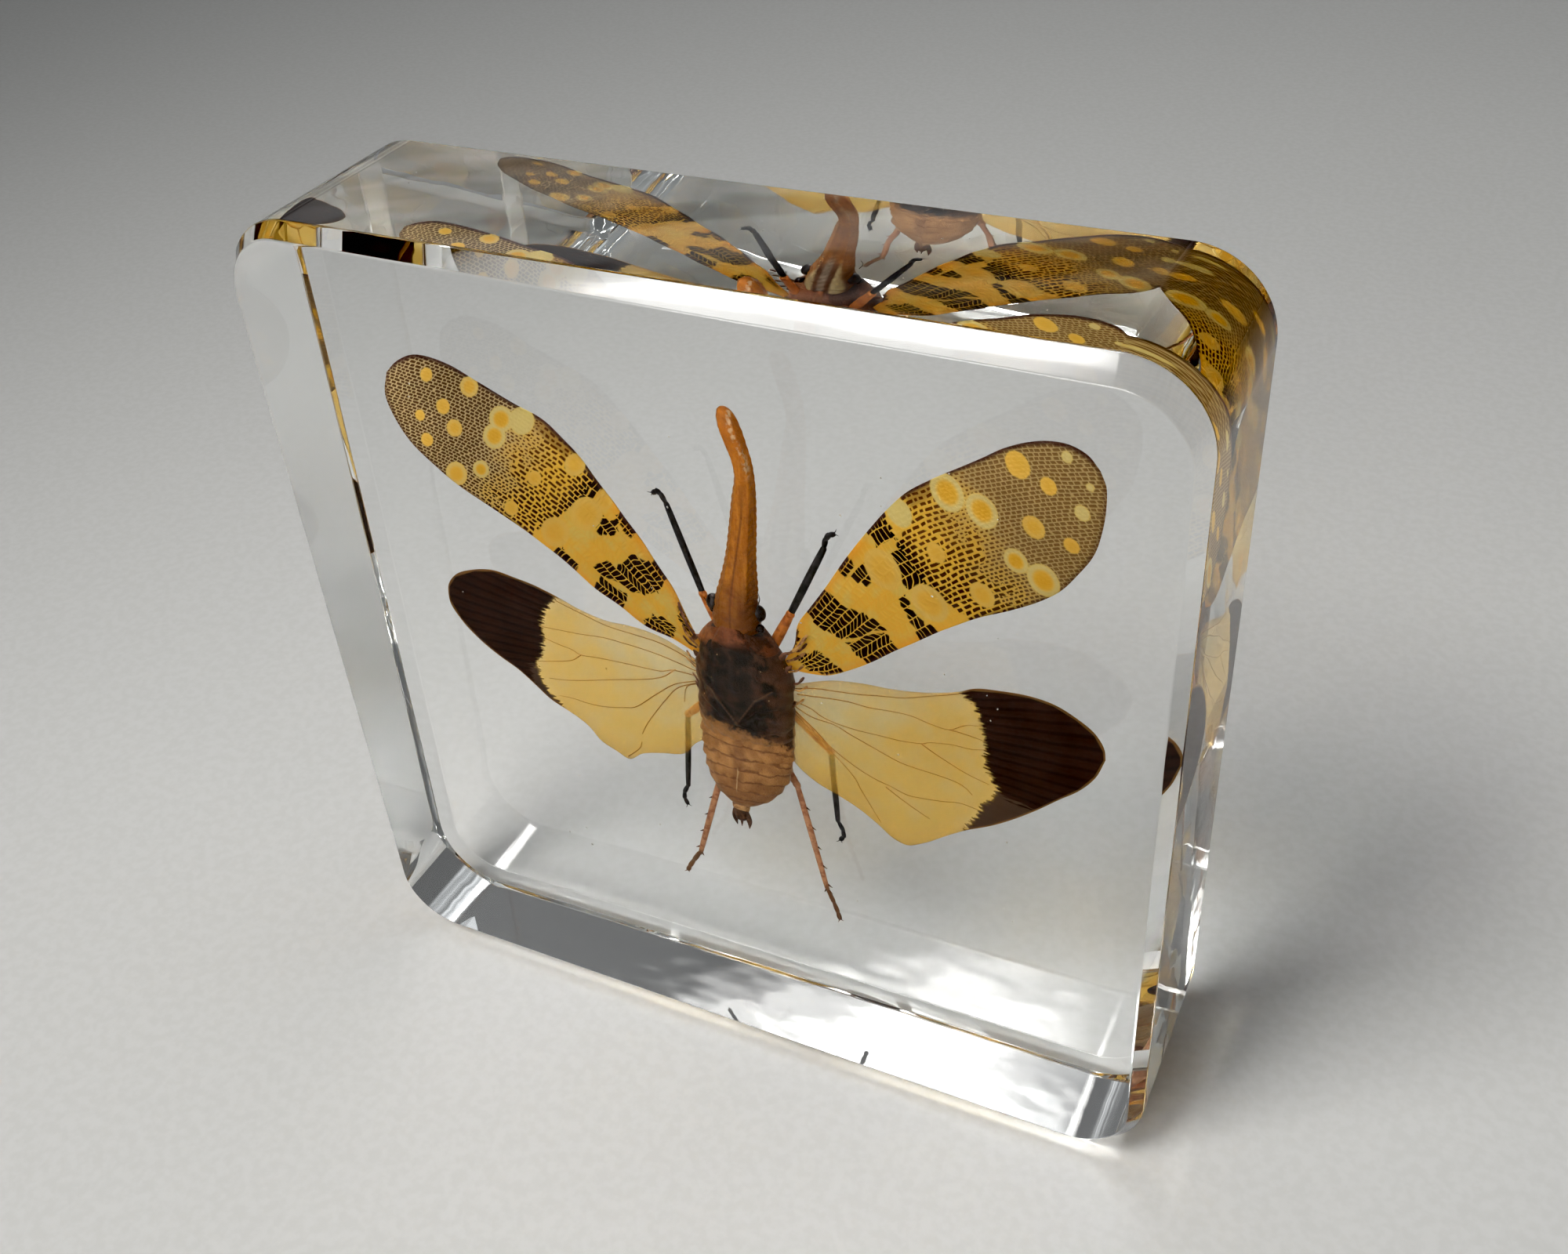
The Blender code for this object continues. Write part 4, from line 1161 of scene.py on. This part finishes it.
def netting_group():
    """The forewing's markings from its stored places: colour, roughness and vein height."""
    group, given, result = new_group(
        "forewing_netting",
        {**dict.fromkeys(NET_MARKS, "Vector"), "Tip Cell Color": "Color",
         "Tip Vein Color": "Color"},
        {"Color": "Color", "Roughness": "Float", "Height": "Float"})
    place = given["Place"]
    along = place.split()[0]
    ring, from_heart, off_spot = given["Spot"].split()
    off_edge, off_leading, off_trailing = given["Margin"].split()
    wander = place.clouds(0.45, 2.0)
    reach = along + wander.step(0.3, 0.7, -1.0, 1.0)

    jostle = add(group, "TexNoise", {"Vector": place, "Scale": 0.55, "Detail": 1.0}, "Color")
    nets = []
    for shake, *sizes in NETS:
        shaken = add(group, "VectorMath", {0: jostle, 1: shake, 2: place},
                     operation="MULTIPLY_ADD")
        nets.append(net_cells(group, shaken, *sizes))
    off_vein, middle = nets[0]
    shares = (reach.worked("LESS_THAN", GOLDEN_TO), along.worked("LESS_THAN", BARRED_TO))
    for share, (next_off_vein, next_middle) in zip(shares, nets[1:]):
        off_vein = add(group, "Mix", {0: share, 2: off_vein, 3: next_off_vein})
        middle = add(group, "Mix", {0: share, 4: middle, 5: next_middle}, 1, data_type="VECTOR")

    # Veins and cells. A cell is netted or not by where its middle lies.
    forward = off_trailing.step(2.5, 7.5) * along.step(15.2, 17.0)
    wide = reach.step(26.0, 19.0, 0.044, 0.088) - along.step(17.0, 14.8, 0.0, 0.045)
    wide = wide + forward * reach.step(26.0, 22.0, 0.0, 0.02)
    cell = (off_vein - wide).step(-0.022, 0.028)
    at_middle = add(group, "VectorMath", {0: given["Netted"], 1: middle}, "Value",
                    operation="DOT_PRODUCT")
    in_net = (at_middle + given["Netted"].split()[2]).step(-0.10, 0.10, 1.0, 0.0)
    netted = in_net * off_spot.step(-0.06, 0.12)
    to_tip = reach.step(18.5, 24.5)
    vein = coated(VEIN_MIDDLE, (to_tip, given["Tip Vein Color"]))
    ink = coated(CELL_MIDDLE, (to_tip, given["Tip Cell Color"]),
                 (forward * reach.step(26.0, 21.0, 0.0, 0.4), CELL_PALE),
                 (along.step(16.5, 15.0), CELL_BASE))

    # The ground, the spots with their hearts and rings, and the brown rim.
    near_rim = off_leading.step(0.1, 1.1, 0.5, 0.0).worked(
        "MAXIMUM", off_trailing.step(0.1, 0.9, 0.5, 0.0))
    fringe = off_leading.step(0.9, 1.5, 1.0, 0.0) * (
        along.step(17.6, 18.2) * along.step(22.6, 21.8))
    ringed = (ring * from_heart.step(0.50, 0.80)).worked("MAXIMUM", ring.step(1.2, 1.6))
    heart = from_heart.step(0.25, 0.85, 1.0, 0.0) * ring.step(0.3, 1.0, 0.35, 1.0)
    spot = coated(SPOT_YELLOW, (heart, SPOT_DEEP), (ringed, SPOT_RING))
    rim = off_edge.step(0.05, 0.40, 0.9, 0.0) * (netted * off_leading.step(0.3, 1.2, 1.0, 0.55))
    give(result["Color"], coated(
        GOLD, (wander.step(0.38, 0.62), GOLD_PALE),
        (off_vein.step(0.02, 0.09, 0.12, 0.0), WING_ORANGE), (netted, vein),
        (near_rim * reach.step(16.0, 10.0), WING_ORANGE),
        (fringe * netted * 0.5, FRINGE_BROWN), (off_spot.step(-0.12, 0.14, 1.0, 0.0), spot),
        (cell * netted, ink), (rim, EDGE_BROWN)))
    give(result["Roughness"], cell.step(0.0, 1.0, 0.40, 0.55))
    give(result["Height"], off_vein.step(0.0, 0.2, 1.0, 0.0))
    return group


def glowing_wing(tree, shader, glow, base):
    """Mixes in the light that comes through a wing from behind."""
    through = add(tree, "BsdfTranslucent", {"Color": base})
    both = add(tree, "MixShader", {0: glow, 1: Shade(tree, shader.outputs[0]), 2: through})
    give(tree.nodes["Material Output"].inputs["Surface"], both)
    return both


NETTING = netting_group()


def forewing_material(name, tip_cell, tip_vein):
    """The leathery forewing, with the colours that its fine tip net has."""
    material, tree, shader = new_material(name, WING_GLOSS)
    stored = {mark: marked(tree, mark, "Vector") for mark in NET_MARKS}
    painted, rough, height = add(tree, "Group", {**stored, "Tip Cell Color": tip_cell,
                                                 "Tip Vein Color": tip_vein},
                                 node_tree=NETTING).outputs()
    dress(shader, painted, rough, height, 0.05)
    glowing_wing(tree, shader, FOREWING_GLOW, painted)
    return material


def forewing_piece(name, wing, material):
    """A forewing with what its net needs stored on its mesh."""
    plan = wing_plan(wing, WING_ROWS, WING_COLUMNS)
    along, across = plan[..., 0], plan[..., 1]
    ripple = 0.05 * np.sin(1.3 * along + 0.6 * across) + 0.04 * np.sin(2.1 * across)
    plate = wing_plate(wing, plan, FOREWING_DEPTH, ripple, WING_THICKNESS)
    piece = insect_piece(name, plate, material)

    def netted(a, c):
        return np.min([signed_distance(a, c, outline) for outline in wing["netted"]], axis=0)

    spot_along, spot_across, radii, rings = np.array(wing["spots"]).T
    off_spots = np.hypot((along[..., None] - spot_along) * SPOT_SHAPE[0],
                         (across[..., None] - spot_across) * SPOT_SHAPE[1]) - radii
    nearest = off_spots.argmin(axis=-1)
    spot = off_spots.min(axis=-1)
    far = 0.05
    slopes = [(netted(along + far, across) - netted(along - far, across)) / (2 * far),
              (netted(along, across + far) - netted(along, across - far)) / (2 * far)]
    rim_high, rim_low = chord_at(wing, along)
    high, low = chord_at(wing, np.minimum(along, ROWS_FAN_TO))
    full_high, full_low = chord_at(wing, np.array(ROWS_FAN_TO))
    scale = (high - low) / (full_high - full_low)
    bend = ROWS_CURVE * np.clip(along - ROWS_CURVE_FROM, 0, None) ** 2
    for mark, fields in zip(NET_MARKS, (
            (along, (across + bend - low) / scale, scale),
            (*slopes, netted(along, across)),
            (rings[nearest], 1 + spot / radii[nearest], spot),
            (off_rim(wing, along, across), rim_high - across, across - rim_low))):
        keep_marks(piece, mark, *fields)


forewing_piece("forewing_left", FOREWING_LEFT, forewing_material("forewing_left", *TIP_LEFT))
forewing_piece("forewing_right", FOREWING_RIGHT, forewing_material("forewing_right", *TIP_RIGHT))

# Hindwings: thin straw-yellow membrane with hair-fine brown veins and a chocolate outer third whose
# inner edge is ragged. They lie behind the forewings' roots and let the legs behind show through.
HINDWING_DEPTH = 3.5
HINDWING_THICKNESS = 0.10
HINDWING_LEFT = {
    "root": (-3.79, 40.27), "angle": 4.5, "side": -1,
    "leading": ((-1.0, -0.3), (1.1, 0.7), (3.1, 1.4), (5.1, 1.7), (7.1, 1.7), (9.1, 1.5),
        (11.6, 1.8), (14.2, 2.5), (16.5, 3.0), (18.7, 3.2), (20.9, 3.3), (23.0, 2.7), (25.2, 1.4),
        (26.0, 0.0), (26.05, -0.8)),
    "trailing": ((-1.0, -8.2), (0.0, -9.0), (1.3, -10.8), (3.6, -11.6), (5.7, -12.5), (7.2, -13.7),
        (8.3, -13.3), (10.0, -12.6), (11.4, -11.3), (13.3, -10.4), (15.5, -9.5), (17.1, -8.4),
        (18.8, -7.3), (20.8, -6.4), (23.0, -5.1), (24.9, -3.4), (26.0, -1.6), (26.05, -0.8)),
    "dark": ((14.2, 4.5), (14.2, 2.5), (15.1, 1.5), (15.7, 0.4), (16.0, -1.3), (15.7, -2.4),
        (16.1, -4.4), (16.8, -5.9), (16.4, -7.4), (15.4, -8.8), (14.1, -10.0), (13.6, -12.0),
        (30.0, -12.0), (30.0, 6.0)),
    "grey": ((15.8, -5.6), (17.6, -6.2), (16.6, -9.6), (13.6, -11.4), (13.9, -9.8), (15.4, -8.2)),
    "veins": (((-0.4, -0.5), (1.3, 0.3), (3.8, 0.9), (6.5, 1.0), (9.1, 1.0), (11.3, 1.4),
        (13.6, 1.9), (14.4, 2.1)), ((0.1, -0.9), (2.5, -0.5), (4.8, -0.3), (7.3, -0.3), (9.6, -0.4),
        (12.0, -0.8), (13.8, -1.0), (16.5, -1.3)), ((0.1, -1.4), (2.3, -1.5), (3.6, -2.0),
        (5.2, -2.2), (7.4, -2.4), (9.9, -2.7), (11.8, -3.0), (12.8, -2.7), (14.1, -2.6),
        (16.0, -2.3)), ((11.8, -3.0), (12.9, -4.0), (15.1, -4.9), (16.6, -5.4)), ((2.2, -1.4),
        (3.6, -2.7), (5.8, -3.7), (8.6, -4.7), (11.4, -5.8), (13.7, -6.6), (15.4, -7.0)),
        ((0.0, -1.9), (2.2, -3.0), (4.0, -4.7), (6.1, -6.9), (7.4, -7.5), (9.5, -8.2), (11.4, -8.5),
        (12.9, -8.5), (14.4, -8.7)), ((0.0, -2.1), (1.9, -3.3), (3.0, -4.9), (4.1, -6.8),
        (5.1, -8.7), (5.6, -10.0)), ((0.0, -2.2), (1.0, -2.9), (1.2, -4.6)), ((7.2, -13.4),
        (6.0, -12.0), (5.7, -11.1))),
}
HINDWING_RIGHT = {
    "root": (5.61, 40.49), "angle": 1.75, "side": 1,
    "leading": ((-1.2, -0.2), (0.0, 0.1), (3.8, 1.3), (6.3, 1.6), (9.0, 1.7), (12.5, 2.2),
        (15.1, 3.0), (15.9, 3.4), (18.4, 3.8), (20.9, 3.9), (22.8, 3.6), (24.7, 2.7), (26.3, 1.5),
        (27.1, 0.1), (27.2, -0.7)),
    "trailing": ((-1.2, -7.4), (-0.2, -8.8), (1.5, -10.1), (3.4, -10.9), (5.6, -12.0), (7.3, -13.2),
        (9.0, -14.5), (9.9, -14.75), (11.6, -14.0), (13.8, -12.5), (15.7, -11.3), (17.9, -10.1),
        (20.0, -8.7), (21.8, -7.3), (23.6, -5.7), (25.3, -4.2), (26.5, -2.6), (27.2, -0.7)),
    "dark": ((15.0, 5.0), (15.1, 2.9), (16.1, 2.0), (16.7, 0.9), (17.1, -0.7), (17.3, -2.0),
        (17.3, -3.8), (17.9, -5.1), (18.4, -6.0), (17.9, -7.2), (17.0, -8.2), (16.8, -9.3),
        (15.7, -10.7), (15.2, -12.5), (31.0, -13.0), (31.0, 6.0)),
    "grey": ((18.3, -6.4), (21.6, -7.6), (19.5, -10.4), (15.0, -12.4), (15.6, -11.2), (16.8, -8.8)),
    "veins": (((-0.6, -0.5), (2.0, 0.1), (4.0, 0.3), (5.9, 0.5), (7.8, 0.8), (9.9, 1.1),
        (12.2, 1.8), (13.7, 2.3), (14.9, 2.7)), ((0.2, -0.9), (4.5, -0.5), (6.8, -0.6), (8.7, -0.5),
        (10.6, -0.5), (12.5, -0.9), (14.1, -1.0), (15.6, -0.2), (17.5, 0.1)), ((14.1, -1.0),
        (15.6, -1.1), (17.6, -1.4)), ((-0.6, -1.6), (1.3, -2.0), (2.4, -2.6), (3.8, -3.0),
        (5.7, -3.2), (7.7, -3.2), (9.8, -3.2), (11.6, -3.0), (12.4, -2.7), (14.3, -2.4),
        (16.1, -2.4), (17.8, -2.0)), ((11.6, -3.0), (12.8, -3.7), (14.2, -4.4), (15.7, -5.1),
        (17.6, -5.7)), ((-0.5, -2.0), (1.4, -2.9), (3.6, -3.2), (5.3, -3.9), (7.2, -4.6),
        (9.3, -5.4), (10.8, -5.7), (12.7, -5.9), (14.6, -6.2), (15.5, -6.6), (16.1, -7.2)),
        ((-0.5, -2.3), (1.7, -4.2), (3.2, -5.7), (5.1, -7.0), (7.0, -7.9), (8.8, -8.4),
        (10.3, -8.9), (12.2, -8.8), (13.8, -8.6), (15.1, -8.4), (17.0, -8.8)), ((-0.5, -2.6),
        (2.0, -5.0), (5.0, -8.0), (5.9, -9.7), (6.8, -11.4), (7.6, -12.9)), ((8.3, -8.6),
        (10.3, -9.9), (12.2, -11.0))),
}
HINDWING_ROWS = 150
HINDWING_COLUMNS = 90
FAN_HINGE = (-4.0, -1.5)
PLEATS = 22
PLEAT_HEIGHT = 0.05
VEIN_RADIUS = 0.052
STRAW = (0.940, 0.700, 0.210)
STRAW_PALE = (0.920, 0.770, 0.380)
STRAW_DEEP = (0.860, 0.520, 0.110)
FILM_TINT = (1.0, 0.875, 0.590)
FILM_PALE = (1.0, 0.950, 0.800)
CHOCOLATE = (0.034, 0.012, 0.008)
CHOCOLATE_RED = (0.064, 0.023, 0.015)
TIP_GREY = (0.200, 0.130, 0.085)
VEIN_BROWN = (0.440, 0.240, 0.075)
VEIN_DARK = (0.290, 0.140, 0.045)
HINDWING_GLOW = 0.45
HINDWING_CLEAR = 0.72
CHOCOLATE_CLEAR = 0.04

hindwing, tree, shader = new_material("hindwing", WING_GLOSS)
place = marked(tree, "fan_place", "Vector")
flat_place = marked(tree, "flat_place", "Vector")
along, across, _ = flat_place.split()
margin = marked(tree, "margin")
wander = flat_place.clouds(0.35, 4.0)
teeth = add(tree, "Mapping", {"Vector": place, "Scale": (0.7, 7.5, 1.0)}).clouds(1.0, 4.0)
in_dark = (marked(tree, "dark") + teeth.step(0.25, 0.75, -0.38, 0.38)).step(-0.14, 0.14, 1.0, 0.0)
in_grey = (marked(tree, "grey") + teeth.step(0.3, 0.7, -0.4, 0.4)).step(-0.2, 0.2, 1.0, 0.0)
pleats = add(tree, "TexWave", {"Vector": place, "Scale": 0.62, "Distortion": 0.8, "Detail": 1.5,
                               "Detail Scale": 0.5}, "Fac", bands_direction="Y")
paleness = (along - across * 1.3).step(17.0, 3.0) + wander.step(0.3, 0.7, -0.35, 0.35)
membrane = coated(STRAW, (paleness, STRAW_PALE), (margin.step(1.3, 0.2) * 0.55, STRAW_DEEP),
                  (flat_place.clouds(7.0, 2.0).step(0.35, 0.7, 0.0, 0.25), STRAW_DEEP))
streaks = pleats.step(0.55, 0.95, 0.0, 0.6) + wander.step(0.3, 0.7, 0.0, 0.5)
chocolate = coated(CHOCOLATE_RED, (streaks, CHOCOLATE), (in_grey * 0.6, TIP_GREY))
painted = coated(membrane, (in_dark, chocolate), (margin.step(0.06, 0.2, 0.6, 0.0), VEIN_BROWN))
dress(shader, painted, wander.step(0.3, 0.7, 0.35, 0.55), pleats, 0.03)
body = glowing_wing(tree, shader, HINDWING_GLOW, painted)
film = add(tree, "BsdfTransparent", {"Color": coated(FILM_TINT, (paleness, FILM_PALE))})
clearness = in_dark.step(0.0, 1.0, HINDWING_CLEAR, CHOCOLATE_CLEAR)
filmed = add(tree, "MixShader", {0: clearness, 1: body, 2: film})
give(tree.nodes["Material Output"].inputs["Surface"], filmed)
vein_brown = horny("vein_brown", VEIN_BROWN, VEIN_DARK, 1.5, 9.0, 0.02, WING_GLOSS)


def fanned(along, across):
    """The turn and the reach from the hindwing's hinge, and how far the pleats stand out there."""
    reach, rise = along - FAN_HINGE[0], across - FAN_HINGE[1]
    turn, span = np.arctan2(rise, reach), np.hypot(rise, reach)
    return turn, span, PLEAT_HEIGHT * np.sin(PLEATS * turn) * np.clip(span / 12, 0, 1)


def hindwing_piece(name, wing):
    """A hindwing's pleated membrane, with its veins as fine raised rods on both faces."""
    plan = wing_plan(wing, HINDWING_ROWS, HINDWING_COLUMNS)
    along, across = plan[..., 0], plan[..., 1]
    turn, span, pleat = fanned(along, across)
    veins = []
    for vein in wing["veins"]:
        line = curve_through(vein, 6 * len(vein))
        path = wing_in_place(wing, line, HINDWING_DEPTH, fanned(*line.T)[2])
        radii = np.linspace(VEIN_RADIUS * 1.25, VEIN_RADIUS * 0.7, len(path))
        veins.append(tube(path, radii, 6))
    plate = wing_plate(wing, plan, HINDWING_DEPTH, pleat, HINDWING_THICKNESS)
    piece = insect_piece(name, joined([plate], veins), hindwing, vein_brown)
    for mark in ("dark", "grey"):
        keep_marks(piece, mark, signed_distance(along, across, wing[mark]))
    keep_marks(piece, "margin", off_rim(wing, along, across))
    keep_marks(piece, "fan_place", span, turn * 14, 0.0)
    keep_marks(piece, "flat_place", along, across, 0.0)


hindwing_piece("hindwing_left", HINDWING_LEFT)
hindwing_piece("hindwing_right", HINDWING_RIGHT)

# Wing hinges: small knuckled plates and bent straps that join the wings to the thorax, golden
# brown and dark brown, crowded together at each root. A strap has its path, its radius and a 1
# where it is dark.
KNUCKLES = (((-3.6, 1.8, 43.6), (-2.8, 1.6, 44.3), 0.26), ((-3.5, 1.8, 42.4), (-2.8, 1.4, 41.8),
    0.28), ((-3.4, 2.3, 40.6), (-2.7, 1.9, 39.6), 0.28), ((-3.8, 2.4, 38.7), (-3.2, 2.1, 37.8),
    0.22), ((5.4, 1.8, 44.5), (4.8, 1.6, 43.7), 0.27), ((5.8, 1.8, 43.2), (5.2, 1.4, 42.4), 0.27),
    ((5.7, 2.3, 41.3), (5.1, 1.9, 40.3), 0.28), ((5.8, 2.4, 39.1), (5.3, 2.1, 38.2), 0.24))
KNUCKLE_SWELL = (0.4, 0.8, 1.0, 0.85, 0.9, 0.5)
STRAPS = ((((-4.7, 2.4, 46.9), (-4.2, 1.8, 45.9), (-3.7, 1.5, 45.0), (-3.2, 1.6, 44.2)), 0.15, 1),
    (((-4.5, 2.4, 45.9), (-4.0, 1.8, 45.1), (-3.3, 1.6, 44.6)), 0.12, 0), (((-4.5, 2.3, 44.6),
    (-4.0, 1.8, 43.9), (-3.4, 1.5, 43.6), (-3.0, 1.6, 43.0)), 0.14, 0), (((-4.6, 2.4, 43.4),
    (-4.0, 2.0, 43.0), (-3.2, 1.6, 42.9)), 0.11, 1), (((-4.5, 2.7, 41.7), (-3.9, 2.3, 41.1),
    (-3.2, 1.8, 41.2)), 0.13, 0), (((-4.7, 2.9, 40.9), (-4.0, 2.6, 40.4), (-3.3, 2.1, 40.3)), 0.10,
    0), (((-4.2, 2.9, 39.3), (-3.8, 2.6, 38.9), (-3.4, 2.3, 38.3)), 0.11, 1), (((7.3, 2.3, 46.6),
    (6.8, 1.8, 45.8), (6.3, 1.5, 45.1), (5.6, 1.5, 44.6)), 0.15, 0), (((7.2, 2.4, 45.7),
    (6.7, 1.9, 45.1), (6.0, 1.6, 44.9)), 0.12, 1), (((7.0, 2.3, 44.7), (6.4, 1.9, 44.2),
    (5.6, 1.5, 43.8)), 0.14, 0), (((6.8, 2.4, 43.3), (6.3, 2.0, 42.8), (5.7, 1.5, 42.7)), 0.11, 0),
    (((6.7, 2.6, 41.9), (6.2, 2.2, 41.3), (5.6, 1.8, 41.4)), 0.13, 1), (((6.9, 2.9, 40.9),
    (6.3, 2.6, 40.4), (5.7, 2.1, 40.6)), 0.10, 0), (((6.5, 2.9, 39.4), (6.1, 2.6, 39.0),
    (5.6, 2.3, 38.6)), 0.11, 0))
STRAP_SWELL = 0.75 + 0.35 * np.sin(np.linspace(0.4, 7.5, 14)) ** 2
HINGE_GLOSS = 0.45
HINGE_GOLD = (0.640, 0.360, 0.120)
HINGE_BROWN = (0.080, 0.030, 0.014)

hinge_forms = ([], [knob(*knuckle, KNUCKLE_SWELL, 14, 0.7) for knuckle in KNUCKLES])
for path, radius, kind in STRAPS:
    hinge_forms[kind].append(tube(curve_through(path, 14), radius * STRAP_SWELL, 10, 0.7))
insect_piece("wing_hinges", joined(*hinge_forms),
             horny("hinge_gold", HINGE_GOLD, TAN_DARK, 1.5, 5.0, 0.05, HINGE_GLOSS),
             horny("hinge_brown", HINGE_BROWN, RUST, 1.5, 5.0, 0.05, HINGE_GLOSS))

# Specks: pin-point air bubbles and dust caught in the resin on and around the wings. They are
# white or dust-brown, and were trapped as the block was cast.
SPECK_ZONE = ((-30.0, 31.0), (0.8, 3.4), (14.0, 66.0))
SPECKS = 46
SPECK_SIZES = (0.035, 0.085)
SPECK_WHITE = (0.86, 0.86, 0.84)
SPECK_DUST = (0.55, 0.50, 0.42)

speck_white, tree, shader = new_material("speck_white")
shade = place_in_mm(tree).clouds(3.0)
speck_colour = coated(SPECK_WHITE, (shade.step(0.4, 0.6), SPECK_DUST))
dress(shader, speck_colour, shade.step(0.3, 0.7, 0.1, 0.5), shade, 0.01)
draw = np.random.default_rng(7)
speck_forms = []
for _ in range(SPECKS):
    spot = Vector([draw.uniform(*span) for span in SPECK_ZONE])
    radius = draw.uniform(*SPECK_SIZES)
    slant = Vector(draw.uniform(-1, 1, 3)) * radius * 0.6
    speck_forms.append(tube([spot - slant, spot + slant], (radius, radius), 8))
specks = mesh_piece("specks", joined(speck_forms), [speck_white])
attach(specks, "root")
